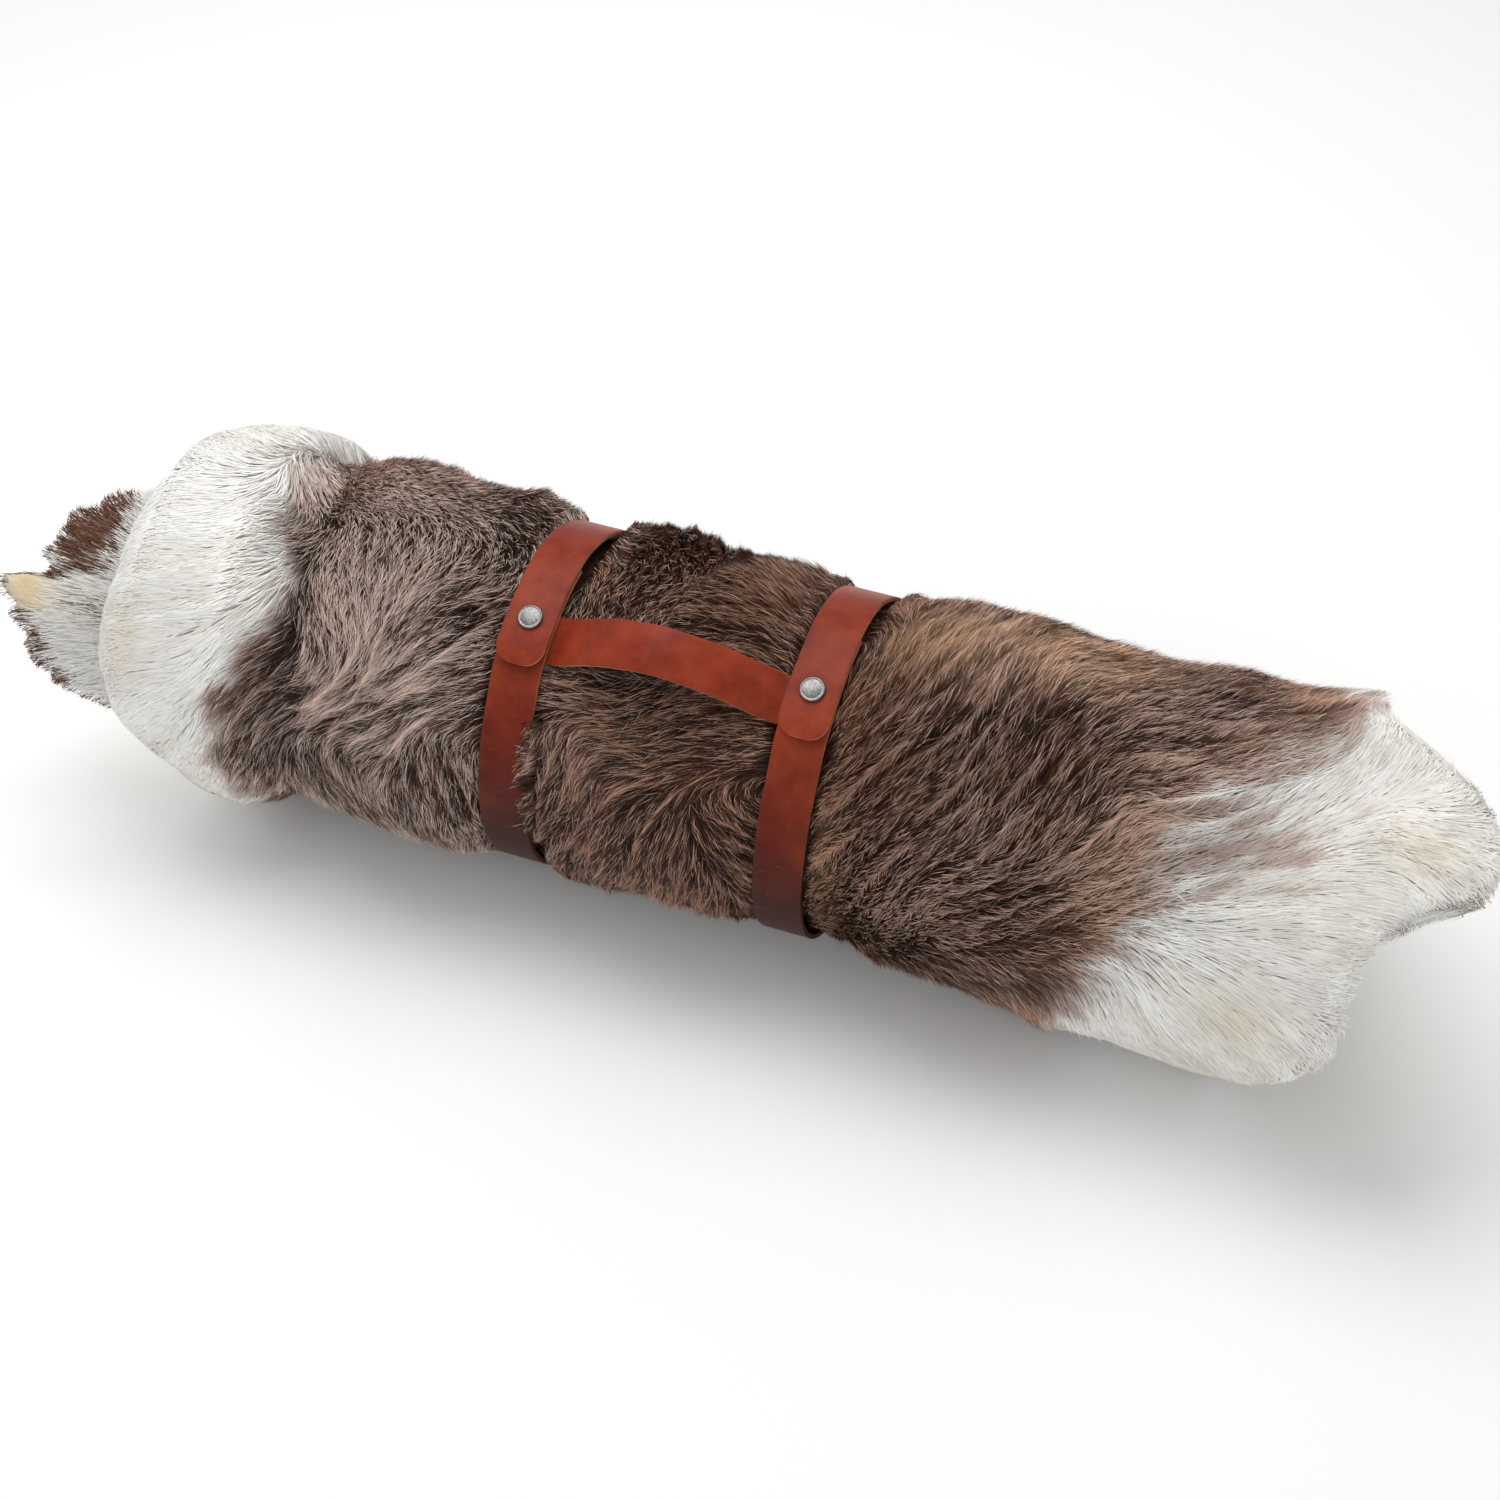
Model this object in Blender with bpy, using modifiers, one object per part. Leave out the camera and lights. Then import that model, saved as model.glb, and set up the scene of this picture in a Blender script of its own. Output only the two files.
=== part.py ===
"""Reindeer hide, rolled hair side out and held in a leather carrier.

The roll lies along X on a small flat spot. Angles go round its axis: 0 degrees is the
front (-Y), 90 the top, 180 the back and -90 the bottom. All lengths are metres.
"""
import math

import bmesh
import bpy

# the roll
AXIS_Y = 0.0
AXIS_Z = 0.110            # height of the roll's axis over the floor
AROUND = 48               # faces round a section
STRAP_RADIUS = 0.1032     # the hide where a strap draws it in
# section rows along the hide, hair included: x, radius
ROLL_SECTIONS = (
    (-0.375, 0.1190),
    (-0.350, 0.1295),
    (-0.322, 0.1310),
    (-0.297, 0.1250),
    (-0.268, 0.1150),
    (-0.235, 0.1180),
    (-0.170, 0.1185),
    (-0.142, 0.1130),
    (-0.127, STRAP_RADIUS),
    (-0.093, STRAP_RADIUS),
    (-0.080, 0.1080),
    (-0.060, 0.1145),
    (-0.022, 0.1165),
    (0.016, 0.1145),
    (0.036, 0.1080),
    (0.049, STRAP_RADIUS),
    (0.083, STRAP_RADIUS),
    (0.098, 0.1120),
    (0.130, 0.1175),
    (0.200, 0.1195),
    (0.280, 0.1205),
    (0.340, 0.1215),
    (0.400, 0.1215),
    (0.456, 0.1150),
)
LEFT_ZONE, RIGHT_ZONE = -0.330, 0.300   # past these the sections stretch to the uneven rims
# rim rows round the roll: angle, x
LEFT_RIM = (
    (-90, -0.352),
    (-30, -0.335),
    (-5, -0.368),
    (20, -0.380),
    (60, -0.378),
    (95, -0.368),
    (130, -0.345),
    (180, -0.352),
    (230, -0.362),
)
RIGHT_RIM = (
    (-60, 0.335),
    (-27, 0.364),
    (3, 0.394),
    (24, 0.396),
    (38, 0.406),
    (47, 0.424),
    (54, 0.4535),
    (72, 0.4555),
    (84, 0.440),
    (99, 0.408),
    (112, 0.372),
    (128, 0.378),
    (150, 0.350),
    (210, 0.362),
    (255, 0.348),
)
# fold rows, from one place on the hide to another: x, angle, x, angle, half width, height
FOLDS = (
    (-0.287, 78, -0.260, 45, 0.014, -0.0060),
    (-0.260, 45, -0.248, -20, 0.015, -0.0080),
    (-0.210, 120, -0.160, 40, 0.020, 0.0020),
    (-0.320, 128, -0.345, 96, 0.026, 0.0030),
    (-0.060, 44, 0.030, 36, 0.011, -0.0040),
    (-0.050, 5, 0.020, 12, 0.018, 0.0030),
    (0.110, 100, 0.190, 84, 0.018, 0.0025),
    (0.240, 24, 0.303, 46, 0.020, -0.0100),
    (0.303, 46, 0.391, 89, 0.020, -0.0160),
    (0.396, 66, 0.440, 52, 0.011, 0.0050),
    (0.320, 4, 0.380, 6, 0.028, 0.0050),
    (0.330, 122, 0.372, 116, 0.014, -0.0060),
    (-0.240, 185, -0.150, 165, 0.018, -0.0060),
    (0.120, 178, 0.330, 160, 0.022, -0.0070),
    (0.180, 235, 0.360, 215, 0.020, 0.0040),
    (-0.360, 222, -0.142, 216, 0.009, -0.0080),
    (-0.076, 214, 0.034, 214, 0.009, -0.0070),
    (0.100, 214, 0.350, 205, 0.009, -0.0080),
)
FOLD_CLEARANCE = 0.019    # no fold starts nearer to a strap's middle than this
LEFT_CORE, RIGHT_CORE = -0.345, 0.338   # the packed turns inside the two rims
LIP = 0.18                # the outer turn's share of the radius
CAP_RINGS = (0.95, 0.89, 0.82, 0.55, 0.27, 0.0)

# the loose inner turn that sticks out of the left end: angle, x of its edge
INNER_FLAP_EDGE = (
    (-18, -0.368),
    (-12, -0.402),
    (-5, -0.427),
    (10, -0.442),
    (22, -0.448),
    (32, -0.456),
    (38, -0.431),
    (48, -0.432),
    (63, -0.424),
    (78, -0.394),
    (86, -0.366),
)
INNER_FLAP_ROOT = -0.3485
INNER_FLAP_RADIUS = 0.0905
INNER_FLAP_THICK = 0.008

# the leather carrier
LEATHER = 0.003
STRAP_WIDTH = 0.030
STRAPS = (("strap_left", -0.110), ("strap_right", 0.066))
TAB_CORNER = 0.011        # radius of the tab's rounded corners
# strap rows, from the end under the tab, round the front, bottom and back: angle, radius
STRAP_PATH = (
    (88, 0.1092),
    (50, 0.1092),
    (38, 0.1060),
    (0, 0.1058),
    (-180, 0.1058),
    (-225, 0.1060),
    (-258, 0.1118),
    (-270, 0.1134),
    (-286, 0.1131),
    (-296, 0.1134),
    (-309, 0.1148),
)
STRAP_STEPS = 84
HANDLE_ANGLE = 62
# handle rows: x, radius
HANDLE_PATH = (
    (-0.122, 0.1056),
    (-0.093, 0.1058),
    (-0.082, 0.1108),
    (-0.066, 0.1225),
    (-0.046, 0.1325),
    (-0.022, 0.1380),
    (0.002, 0.1325),
    (0.022, 0.1225),
    (0.038, 0.1108),
    (0.049, 0.1058),
    (0.078, 0.1056),
)
HANDLE_STEPS = 40
SNAP_ANGLE = 65.5
SNAP_RADIUS = 0.0075
SNAP_HEIGHT = 0.0018
SNAP_SEAT = 0.1155        # from the roll's axis to the snap's underside


def between(rows, x):
    """Smooth value at x from rows that rise in their first column, with no overshoot."""
    if x <= rows[0][0]:
        return rows[0][1]
    if x >= rows[-1][0]:
        return rows[-1][1]
    slopes = [(b[1] - a[1]) / (b[0] - a[0]) for a, b in zip(rows, rows[1:])]
    i = next(n for n, row in enumerate(rows[1:]) if x <= row[0])

    def lean(n):
        """The curve's slope at row n: none at a crest, a dip or an end."""
        if n == 0 or n == len(slopes) or slopes[n - 1] * slopes[n] <= 0:
            return 0.0
        return 2 * slopes[n - 1] * slopes[n] / (slopes[n - 1] + slopes[n])

    (x0, v0), (x1, v1) = rows[i], rows[i + 1]
    width = x1 - x0
    t = (x - x0) / width
    rise = t * t * (3 - 2 * t)
    bow0, bow1 = t * (1 - t) ** 2, t * t * (t - 1)
    return v0 + (v1 - v0) * rise + width * (bow0 * lean(i) + bow1 * lean(i + 1))


def around(rows, angle):
    """The same for rows of angles, which close on themselves."""
    start = rows[0][0]
    turned = (angle - start) % 360 + start
    return between(rows + ((start + 360, rows[0][1]),), turned)


def place(x, angle, radius):
    turn = math.radians(angle)
    return (x, AXIS_Y - radius * math.cos(turn), AXIS_Z + radius * math.sin(turn))


def fold_height(x, angle):
    """What the folds add at one place, fading out towards the straps."""
    total = 0.0
    for x0, a0, x1, a1, half_width, height in FOLDS:
        scale = math.radians(1) * ROLL_SECTIONS[6][1]
        along = (x1 - x0, (a1 - a0) * scale)
        offset = (x - x0, ((angle - a0 + 180) % 360 - 180) * scale)
        length2 = along[0] ** 2 + along[1] ** 2
        t = max(0.0, min(1.0, (offset[0] * along[0] + offset[1] * along[1]) / length2))
        gap2 = (offset[0] - t * along[0]) ** 2 + (offset[1] - t * along[1]) ** 2
        total += height * math.exp(-gap2 / half_width ** 2)
    nearest = min(abs(x - middle) for _, middle in STRAPS)
    return total * max(0.0, min(1.0, (nearest - FOLD_CLEARANCE) / 0.014))


def hide_radius(x, angle):
    return between(ROLL_SECTIONS, x) + fold_height(x, angle)


def hide_point(station, angle):
    """One place on the roll: from the left core, over the hide, to the right core."""
    rings = len(CAP_RINGS)
    sections = section_places()
    last = rings + len(sections) - 1
    inward = 0
    if station < rings:
        inward = rings - station
    elif station > last:
        inward = station - last
    x = sections[min(max(station - rings, 0), len(sections) - 1)]
    if x < LEFT_ZONE:
        share = (x - LEFT_ZONE) / (sections[0] - LEFT_ZONE)
        x = LEFT_ZONE + share * (around(LEFT_RIM, angle) - LEFT_ZONE)
    elif x > RIGHT_ZONE:
        share = (x - RIGHT_ZONE) / (sections[-1] - RIGHT_ZONE)
        x = RIGHT_ZONE + share * (around(RIGHT_RIM, angle) - RIGHT_ZONE)
    radius = hide_radius(x, angle)
    if inward:
        part = CAP_RINGS[inward - 1]
        core = LEFT_CORE if station < rings else RIGHT_CORE
        x += (core - x) * min(1.0, (1 - part) / LIP)
        radius *= part
    x, y, z = place(x, angle, radius)
    return (x, y, max(z, 0.0))


def section_places():
    """Each section's x, and the middle of each stretch between two."""
    places = []
    for (x0, _), (x1, _) in zip(ROLL_SECTIONS, ROLL_SECTIONS[1:]):
        places += [x0, (x0 + x1) / 2]
    return places + [ROLL_SECTIONS[-1][0]]


def finish(name, bm, collection, material):
    bmesh.ops.remove_doubles(bm, verts=bm.verts, dist=1e-6)
    bmesh.ops.recalc_face_normals(bm, faces=bm.faces)
    mesh = bpy.data.meshes.new(name)
    bm.to_mesh(mesh)
    bm.free()
    mesh.shade_smooth()
    mesh.set_sharp_from_angle(angle=math.radians(40))
    mesh.materials.append(material)
    ob = bpy.data.objects.new(name, mesh)
    collection.objects.link(ob)
    return ob


def shaped_grid(across, along, point):
    """A grid of quads with each corner moved to point(u, v), u and v from 0 to 1."""
    bm = bmesh.new()
    bmesh.ops.create_grid(bm, x_segments=across, y_segments=along, size=0.5)
    for vert in bm.verts:
        vert.co = point(vert.co.x + 0.5, vert.co.y + 0.5)
    return bm


def thicken(ob, thickness):
    solid = ob.modifiers.new("thickness", "SOLIDIFY")
    solid.thickness = thickness
    solid.offset = 0
    return ob


def make_material(name, colour, roughness, metallic=0.0):
    material = bpy.data.materials.new(name)
    material.use_nodes = True
    shader = material.node_tree.nodes["Principled BSDF"]
    shader.inputs["Base Color"].default_value = (*colour, 1)
    shader.inputs["Roughness"].default_value = roughness
    shader.inputs["Metallic"].default_value = metallic
    material.diffuse_color = (*colour, 1)
    return material


def make_roll(collection, material):
    along = 2 * len(CAP_RINGS) + len(section_places()) - 1

    def point(u, v):
        return hide_point(round(v * along), 360 * u)

    return finish("hide_roll", shaped_grid(AROUND, along, point), collection, material)


def make_inner_flap(collection, material):
    first, last = INNER_FLAP_EDGE[0][0], INNER_FLAP_EDGE[-1][0]

    def point(u, v):
        angle = first + (last - first) * u
        edge = between(INNER_FLAP_EDGE, angle)
        return place(INNER_FLAP_ROOT + (edge - INNER_FLAP_ROOT) * v, angle, INNER_FLAP_RADIUS)

    sheet = finish("hide_inner_flap", shaped_grid(26, 5, point), collection, material)
    return thicken(sheet, INNER_FLAP_THICK)


def make_strap(name, middle, collection, material):
    rows = tuple((-angle, radius) for angle, radius in STRAP_PATH)
    first, last = rows[0][0], rows[-1][0]
    tab_radius = rows[-1][1]
    corner_steps = 5

    def point(u, v):
        step = round(v * (STRAP_STEPS + corner_steps))
        half = STRAP_WIDTH / 2
        bend = math.degrees(TAB_CORNER / tab_radius)
        if step <= STRAP_STEPS:
            turn = first + (last - bend - first) * step / STRAP_STEPS
        else:
            corner = math.pi / 2 * (step - STRAP_STEPS) / corner_steps
            turn = last - bend + bend * math.sin(corner)
            half -= TAB_CORNER * (1 - math.cos(corner))
        return place(middle + half * (2 * u - 1), -turn, between(rows, turn))

    sheet = shaped_grid(2, STRAP_STEPS + corner_steps, point)
    return thicken(finish(name, sheet, collection, material), LEATHER)


def make_handle(collection, material):
    first, last = HANDLE_PATH[0][0], HANDLE_PATH[-1][0]

    def point(u, v):
        x = first + (last - first) * v
        radius = between(HANDLE_PATH, x)
        side = math.degrees(STRAP_WIDTH * (u - 0.5) / radius)
        return place(x, HANDLE_ANGLE + side, radius)

    sheet = shaped_grid(4, HANDLE_STEPS, point)
    return thicken(finish("handle", sheet, collection, material), LEATHER)


def make_snap(name, middle, collection, material):
    """A low domed cap: a flat disc with a narrower top, set square on the tab."""
    bpy.ops.mesh.primitive_cone_add(
        vertices=32, radius1=SNAP_RADIUS, radius2=SNAP_RADIUS * 0.8, depth=SNAP_HEIGHT,
        location=place(middle, SNAP_ANGLE, SNAP_SEAT + SNAP_HEIGHT / 2),
        rotation=(math.radians(90 - SNAP_ANGLE), 0, 0))
    ob = bpy.context.object
    ob.name = ob.data.name = name
    ob.data.shade_smooth()
    ob.data.set_sharp_from_angle(angle=math.radians(40))
    ob.data.materials.append(material)
    for other in ob.users_collection:
        other.objects.unlink(ob)
    collection.objects.link(ob)
    return ob


for old in list(bpy.data.objects):
    bpy.data.objects.remove(old, do_unlink=True)
hide_collection = bpy.data.collections.new("rolled_reindeer_hide")
bpy.context.scene.collection.children.link(hide_collection)
bpy.context.view_layer.active_layer_collection = (
    bpy.context.view_layer.layer_collection.children[hide_collection.name])

brown_hair = make_material("brown_hair", (0.10, 0.06, 0.042), 0.8)
pale_hair = make_material("pale_hair", (0.78, 0.74, 0.68), 0.8)
cognac_leather = make_material("cognac_leather", (0.28, 0.055, 0.022), 0.4)
dull_nickel = make_material("dull_nickel", (0.55, 0.53, 0.50), 0.35, 1.0)

make_roll(hide_collection, brown_hair)
make_inner_flap(hide_collection, pale_hair)
for strap_name, strap_x in STRAPS:
    make_strap(strap_name, strap_x, hide_collection, cognac_leather)
    snap_name = strap_name.replace("strap", "snap")
    make_snap(snap_name, strap_x, hide_collection, dull_nickel)
make_handle(hide_collection, cognac_leather)
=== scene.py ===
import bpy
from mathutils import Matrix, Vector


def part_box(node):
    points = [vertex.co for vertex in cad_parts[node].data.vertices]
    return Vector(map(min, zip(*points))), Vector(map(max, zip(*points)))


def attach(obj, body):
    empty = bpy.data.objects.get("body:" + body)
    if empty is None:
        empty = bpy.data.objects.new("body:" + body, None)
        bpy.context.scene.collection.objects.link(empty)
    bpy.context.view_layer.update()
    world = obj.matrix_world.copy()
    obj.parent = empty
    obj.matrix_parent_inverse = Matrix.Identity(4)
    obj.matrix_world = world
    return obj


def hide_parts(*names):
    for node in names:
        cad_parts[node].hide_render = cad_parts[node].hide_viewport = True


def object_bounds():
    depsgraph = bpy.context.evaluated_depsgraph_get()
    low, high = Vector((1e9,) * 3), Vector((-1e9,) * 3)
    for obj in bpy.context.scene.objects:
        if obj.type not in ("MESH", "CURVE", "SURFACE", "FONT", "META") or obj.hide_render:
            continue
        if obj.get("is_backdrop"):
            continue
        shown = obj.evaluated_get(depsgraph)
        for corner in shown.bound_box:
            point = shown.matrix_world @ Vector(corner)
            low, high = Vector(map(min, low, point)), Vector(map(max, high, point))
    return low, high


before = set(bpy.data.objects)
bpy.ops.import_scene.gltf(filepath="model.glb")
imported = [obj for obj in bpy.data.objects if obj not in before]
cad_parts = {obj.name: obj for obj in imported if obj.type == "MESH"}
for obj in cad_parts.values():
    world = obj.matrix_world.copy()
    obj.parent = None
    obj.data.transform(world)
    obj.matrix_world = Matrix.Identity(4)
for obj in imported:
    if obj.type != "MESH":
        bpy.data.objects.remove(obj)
cad_low, cad_high = (list(corner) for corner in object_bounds())

import math

import bmesh
import bpy
import numpy as np
from mathutils import Matrix, Vector
from mathutils.bvhtree import BVHTree

# ---------------------------------------------------------------- the skin
# One tanned reindeer skin, 2 mm thick, wound hair side out a little over two turns from its
# outer edge low on the back. Its inner turn sticks out of the left end as a pointed flap, and
# the carrier's two straps squeeze the roll to waists.
STRAP_REACH = 0.1073      # from the roll's axis down to the bottom of a strap
AXIS_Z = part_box("strap_left")[0][2] + STRAP_REACH
ROLL_MEAN = 0.117         # the hair's outer surface is about this far from the axis
ROLL_LOW, ROLL_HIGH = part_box("hide_roll")
GRID_X, GRID_TURN = 260, 180      # steps of the tables that hold the roll's form
CAST_FROM = 0.30          # rays start this far from the axis
CAST_SHORT = 0.03         # and one that gets this near it has missed
RIM_INSET = 0.0008        # the first and last rays pass just inside the rims


def outward(turn):
    """The way out from the axis. A turn is 0 at the front, and a quarter on at the top."""
    return np.stack([np.zeros_like(turn), -np.cos(turn), np.sin(turn)], -1)


def read_form():
    """The roll's radius on a grid of x and turn, and the x of its rims, from its solid."""
    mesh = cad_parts["hide_roll"].data
    tree = BVHTree.FromPolygons([v.co.copy() for v in mesh.vertices],
                                [tuple(p.vertices) for p in mesh.polygons])
    xs = np.linspace(ROLL_LOW[0] + RIM_INSET, ROLL_HIGH[0] - RIM_INSET, GRID_X)
    turns = np.arange(GRID_TURN) * 2 * np.pi / GRID_TURN
    radius = np.full((GRID_X, GRID_TURN), np.nan)
    for j, turn in enumerate(turns):
        way = Vector(outward(np.array(turn)).tolist())
        start = Vector((0, 0, AXIS_Z)) + way * CAST_FROM
        for i, x in enumerate(xs):
            start.x = x
            distance = tree.ray_cast(start, -way)[3]
            if distance is not None and distance < CAST_FROM - CAST_SHORT:
                radius[i, j] = CAST_FROM - distance
    left = np.zeros(GRID_TURN)
    right = np.zeros(GRID_TURN)
    for j in range(GRID_TURN):
        held = np.flatnonzero(~np.isnan(radius[:, j]))
        left[j], right[j] = xs[held[0]], xs[held[-1]]
        radius[:, j] = np.interp(xs, xs[held], radius[held, j])
    for _ in range(2):
        radius[1:-1] = (radius[:-2] + 2 * radius[1:-1] + radius[2:]) / 4
        radius = (np.roll(radius, 1, 1) + 2 * radius + np.roll(radius, -1, 1)) / 4
        left = (np.roll(left, 1) + 2 * left + np.roll(left, -1)) / 4
        right = (np.roll(right, 1) + 2 * right + np.roll(right, -1)) / 4
    return xs, radius, left, right


FORM_X, FORM_RADIUS, FORM_LEFT, FORM_RIGHT = read_form()


def round_table(table, turn):
    """Reads a table of GRID_TURN values round the roll at any turn."""
    place = np.mod(turn, 2 * np.pi) * GRID_TURN / (2 * np.pi)
    low = np.floor(place).astype(int) % GRID_TURN
    share = place - np.floor(place)
    return table[low] * (1 - share) + table[(low + 1) % GRID_TURN] * share


def read_field(table, xs, x, turn):
    """Bilinear value of a table on x and turn, which closes round the roll."""
    along = np.clip((x - xs[0]) / (xs[1] - xs[0]), 0, len(xs) - 1.001)
    i = along.astype(int)
    share_x = along - i
    round_steps = table.shape[1]
    place = np.mod(turn, 2 * np.pi) * round_steps / (2 * np.pi)
    low = np.floor(place).astype(int)
    share = place - low
    low %= round_steps
    high = (low + 1) % round_steps
    if table.ndim == 3:
        share_x, share = share_x[..., None], share[..., None]
    near = table[i, low] * (1 - share) + table[i, high] * share
    far = table[i + 1, low] * (1 - share) + table[i + 1, high] * share
    return near * (1 - share_x) + far * share_x


def on_roll(x, turn, radius):
    return np.stack([x, -radius * np.cos(turn), AXIS_Z + radius * np.sin(turn)], -1)


# where loose hair stands proud of the solid, or lies flatter: x, turn in degrees,
# half length, half width, height
SWELLS = (
    (-0.335, 120, 0.036, 0.055, 0.0170),
    (-0.288, 128, 0.016, 0.042, -0.0150),
    (-0.243, 128, 0.034, 0.045, 0.0070),
    (-0.150, 132, 0.018, 0.040, 0.0070),
    (-0.070, 130, 0.028, 0.050, 0.0090),
    (0.030, 132, 0.022, 0.040, 0.0060),
    (0.120, 132, 0.050, 0.040, 0.0020),
    (0.245, 130, 0.050, 0.040, -0.0080),
    (0.325, 125, 0.022, 0.035, -0.0080),
    (0.386, 122, 0.012, 0.025, 0.0080),
    (-0.360, -8, 0.025, 0.030, 0.0040),
    (-0.275, -42, 0.045, 0.040, -0.0075),
    (-0.210, -42, 0.030, 0.035, -0.0040),
    (-0.080, -42, 0.014, 0.030, 0.0060),
    (-0.015, -42, 0.030, 0.035, -0.0050),
    (0.100, -42, 0.030, 0.035, -0.0070),
    (0.160, -42, 0.040, 0.035, -0.0055),
    (0.228, -42, 0.014, 0.030, 0.0050),
    (-0.258, 24, 0.013, 0.060, -0.0080),
    (-0.264, 80, 0.010, 0.050, -0.0060),
    (-0.300, 50, 0.018, 0.100, 0.0030),
)


def patch_share(x, turn, row):
    """How strongly one place lies in a patch, from 0 to 1."""
    x0, degrees, half_x, half_turn = row[:4]
    away = (np.mod(turn - math.radians(degrees) + math.pi, 2 * np.pi) - math.pi) * ROLL_MEAN
    return np.exp(-((x - x0) / half_x) ** 2 - (away / half_turn) ** 2)


def coat_radius(x, turn):
    """The solid's radius with the swells of the loose hair."""
    radius = read_field(FORM_RADIUS, FORM_X, x, turn)
    for row in SWELLS:
        radius = radius + row[4] * patch_share(x, turn, row)
    return radius


def smooth(low, high, value):
    t = np.clip((value - low) / (high - low), 0, 1)
    return t * t * (3 - 2 * t)


DRIFT_ORIGIN = 77.5       # in cells, away from the object's own origin


def drift(points, size, seed):
    """Soft random value from -1 to 1 that wanders over about size metres."""
    cells = 32
    knots = np.random.default_rng(seed).uniform(-1, 1, (cells, cells, cells))
    place = points / size + DRIFT_ORIGIN
    cell = np.floor(place).astype(int)
    share = place - cell
    share = share * share * (3 - 2 * share)
    total = np.zeros(len(points))
    for corner in np.ndindex(2, 2, 2):
        weight = np.prod(np.where(corner, share, 1 - share), axis=1)
        at = (cell + corner) % cells
        total += weight * knots[at[:, 0], at[:, 1], at[:, 2]]
    return total


# the carrier presses the coat flat under its straps and handle
STRAP_X = [sum(corner[0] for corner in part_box(name)) / 2 for name in ("strap_left", "strap_right")]
STRAP_HALF = 0.015
# room for hair under the straps' lowest layer: turn in degrees, radius
UNDER_STRAP = ((0, 0.1036), (38, 0.1038), (52, 0.1068), (88, 0.1070), (104, 0.1088),
               (135, 0.1038), (360, 0.1036))
STRAP_HOLD = 0.004        # a strap's hold on the hair ends this far past its edge
HANDLE_TURN = math.radians(62)
# the handle's path: x, radius of the middle of the leather
HANDLE_PATH = (
    (-0.122, 0.1056), (-0.093, 0.1058), (-0.082, 0.1108), (-0.066, 0.1225),
    (-0.046, 0.1325), (-0.022, 0.1380), (0.002, 0.1325), (0.022, 0.1225),
    (0.038, 0.1108), (0.049, 0.1058), (0.078, 0.1056),
)
HANDLE_ROOM = 0.0022      # from that path down to the hair
HANDLE_COVERS = 0.17      # half the turn that it covers, in radians
COAT_INSET = 0.0012       # how far the coat lies inside the solid
END_RISE = 0.0020         # and how far it comes out again at its long-haired ends
FINE_SWELL, BROAD_SWELL = 0.0016, 0.0014
BULGE, TOP_BULGE = 0.0030, 0.0035      # hair pushed up beside a strap, and more at the top
BULGE_AWAY, BULGE_WIDE = 0.021, 0.006      # from the strap's middle, and how broad
FREE_ROOM = 0.02          # more than the coat ever needs beyond a strap's hold


def from_strap(x):
    return np.min([np.abs(x - place) for place in STRAP_X], axis=0)


def pressed_radius(x, turn):
    """The hair's outer surface with its own swells, pressed flat under the carrier."""
    points = on_roll(x, turn, ROLL_MEAN)
    swell = FINE_SWELL * drift(points, 0.020, 51) + BROAD_SWELL * drift(points, 0.045, 52)
    ends = smooth(-0.27, -0.30, x) + smooth(0.27, 0.33, x)
    radius = coat_radius(x, turn) - COAT_INSET + END_RISE * ends + swell
    beside = from_strap(x)
    degrees = np.mod(np.degrees(turn), 360)
    high = smooth(85, 110, degrees) * smooth(160, 135, degrees)
    bulge = np.exp(-((beside - BULGE_AWAY) / BULGE_WIDE) ** 2)
    radius = radius + (BULGE + TOP_BULGE * high) * bulge
    free = smooth(STRAP_HALF, STRAP_HALF + STRAP_HOLD, beside)
    roof = np.interp(degrees, *zip(*UNDER_STRAP))
    radius = np.minimum(radius, roof + FREE_ROOM * free)
    path = np.array(HANDLE_PATH)
    roof = np.interp(x, path[:, 0], path[:, 1]) - HANDLE_ROOM
    under = (np.abs(turn - HANDLE_TURN) < HANDLE_COVERS) & (x > path[0, 0]) & (x < path[-1, 0])
    return np.where(under, np.minimum(radius, roof), radius)


# from the hair's outer surface down to the skin
HELD_DEPTH = 0.004        # under a strap
FREE_DEPTH = 0.0055       # more than that between the straps
FLAT_DEPTH = 0.0035       # and less again at the ends, where the long white hair lies flat
INNER_DEPTH = 0.0095      # on the inner turns


def hair_depth(x):
    """How deep the skin lies under the hair's surface: the straps squeeze it."""
    clear = smooth(STRAP_HALF, STRAP_HALF + 0.03, from_strap(x))
    ends = smooth(-0.27, -0.30, x) + smooth(0.30, 0.36, x)
    return HELD_DEPTH + (FREE_DEPTH - FLAT_DEPTH * ends) * clear


SKIN_THICK = 0.002
TURN_PITCH = 0.030        # skin to skin, with the hair between
EDGE_TURN = math.radians(214)
TURNS_WOUND = 2.2
RIM_HAIR = (0.016, 0.007)  # the hair reaches this far past the skin at the two rims
INNER_REACH = 0.31        # the inner turns keep the form of the roll this far from its middle
INNER_RIM = 0.352         # and end about this far from it
FLAP_POINT = (math.radians(33), 0.11, 0.015)      # its turn, half its width, how far it sticks out


def layer_at(wound):
    """How many pitches the skin lies under the outer turn, after that many turns."""
    return smooth(0.94, 1.08, wound) + 0.9 * smooth(1.66, TURNS_WOUND, wound)


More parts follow.
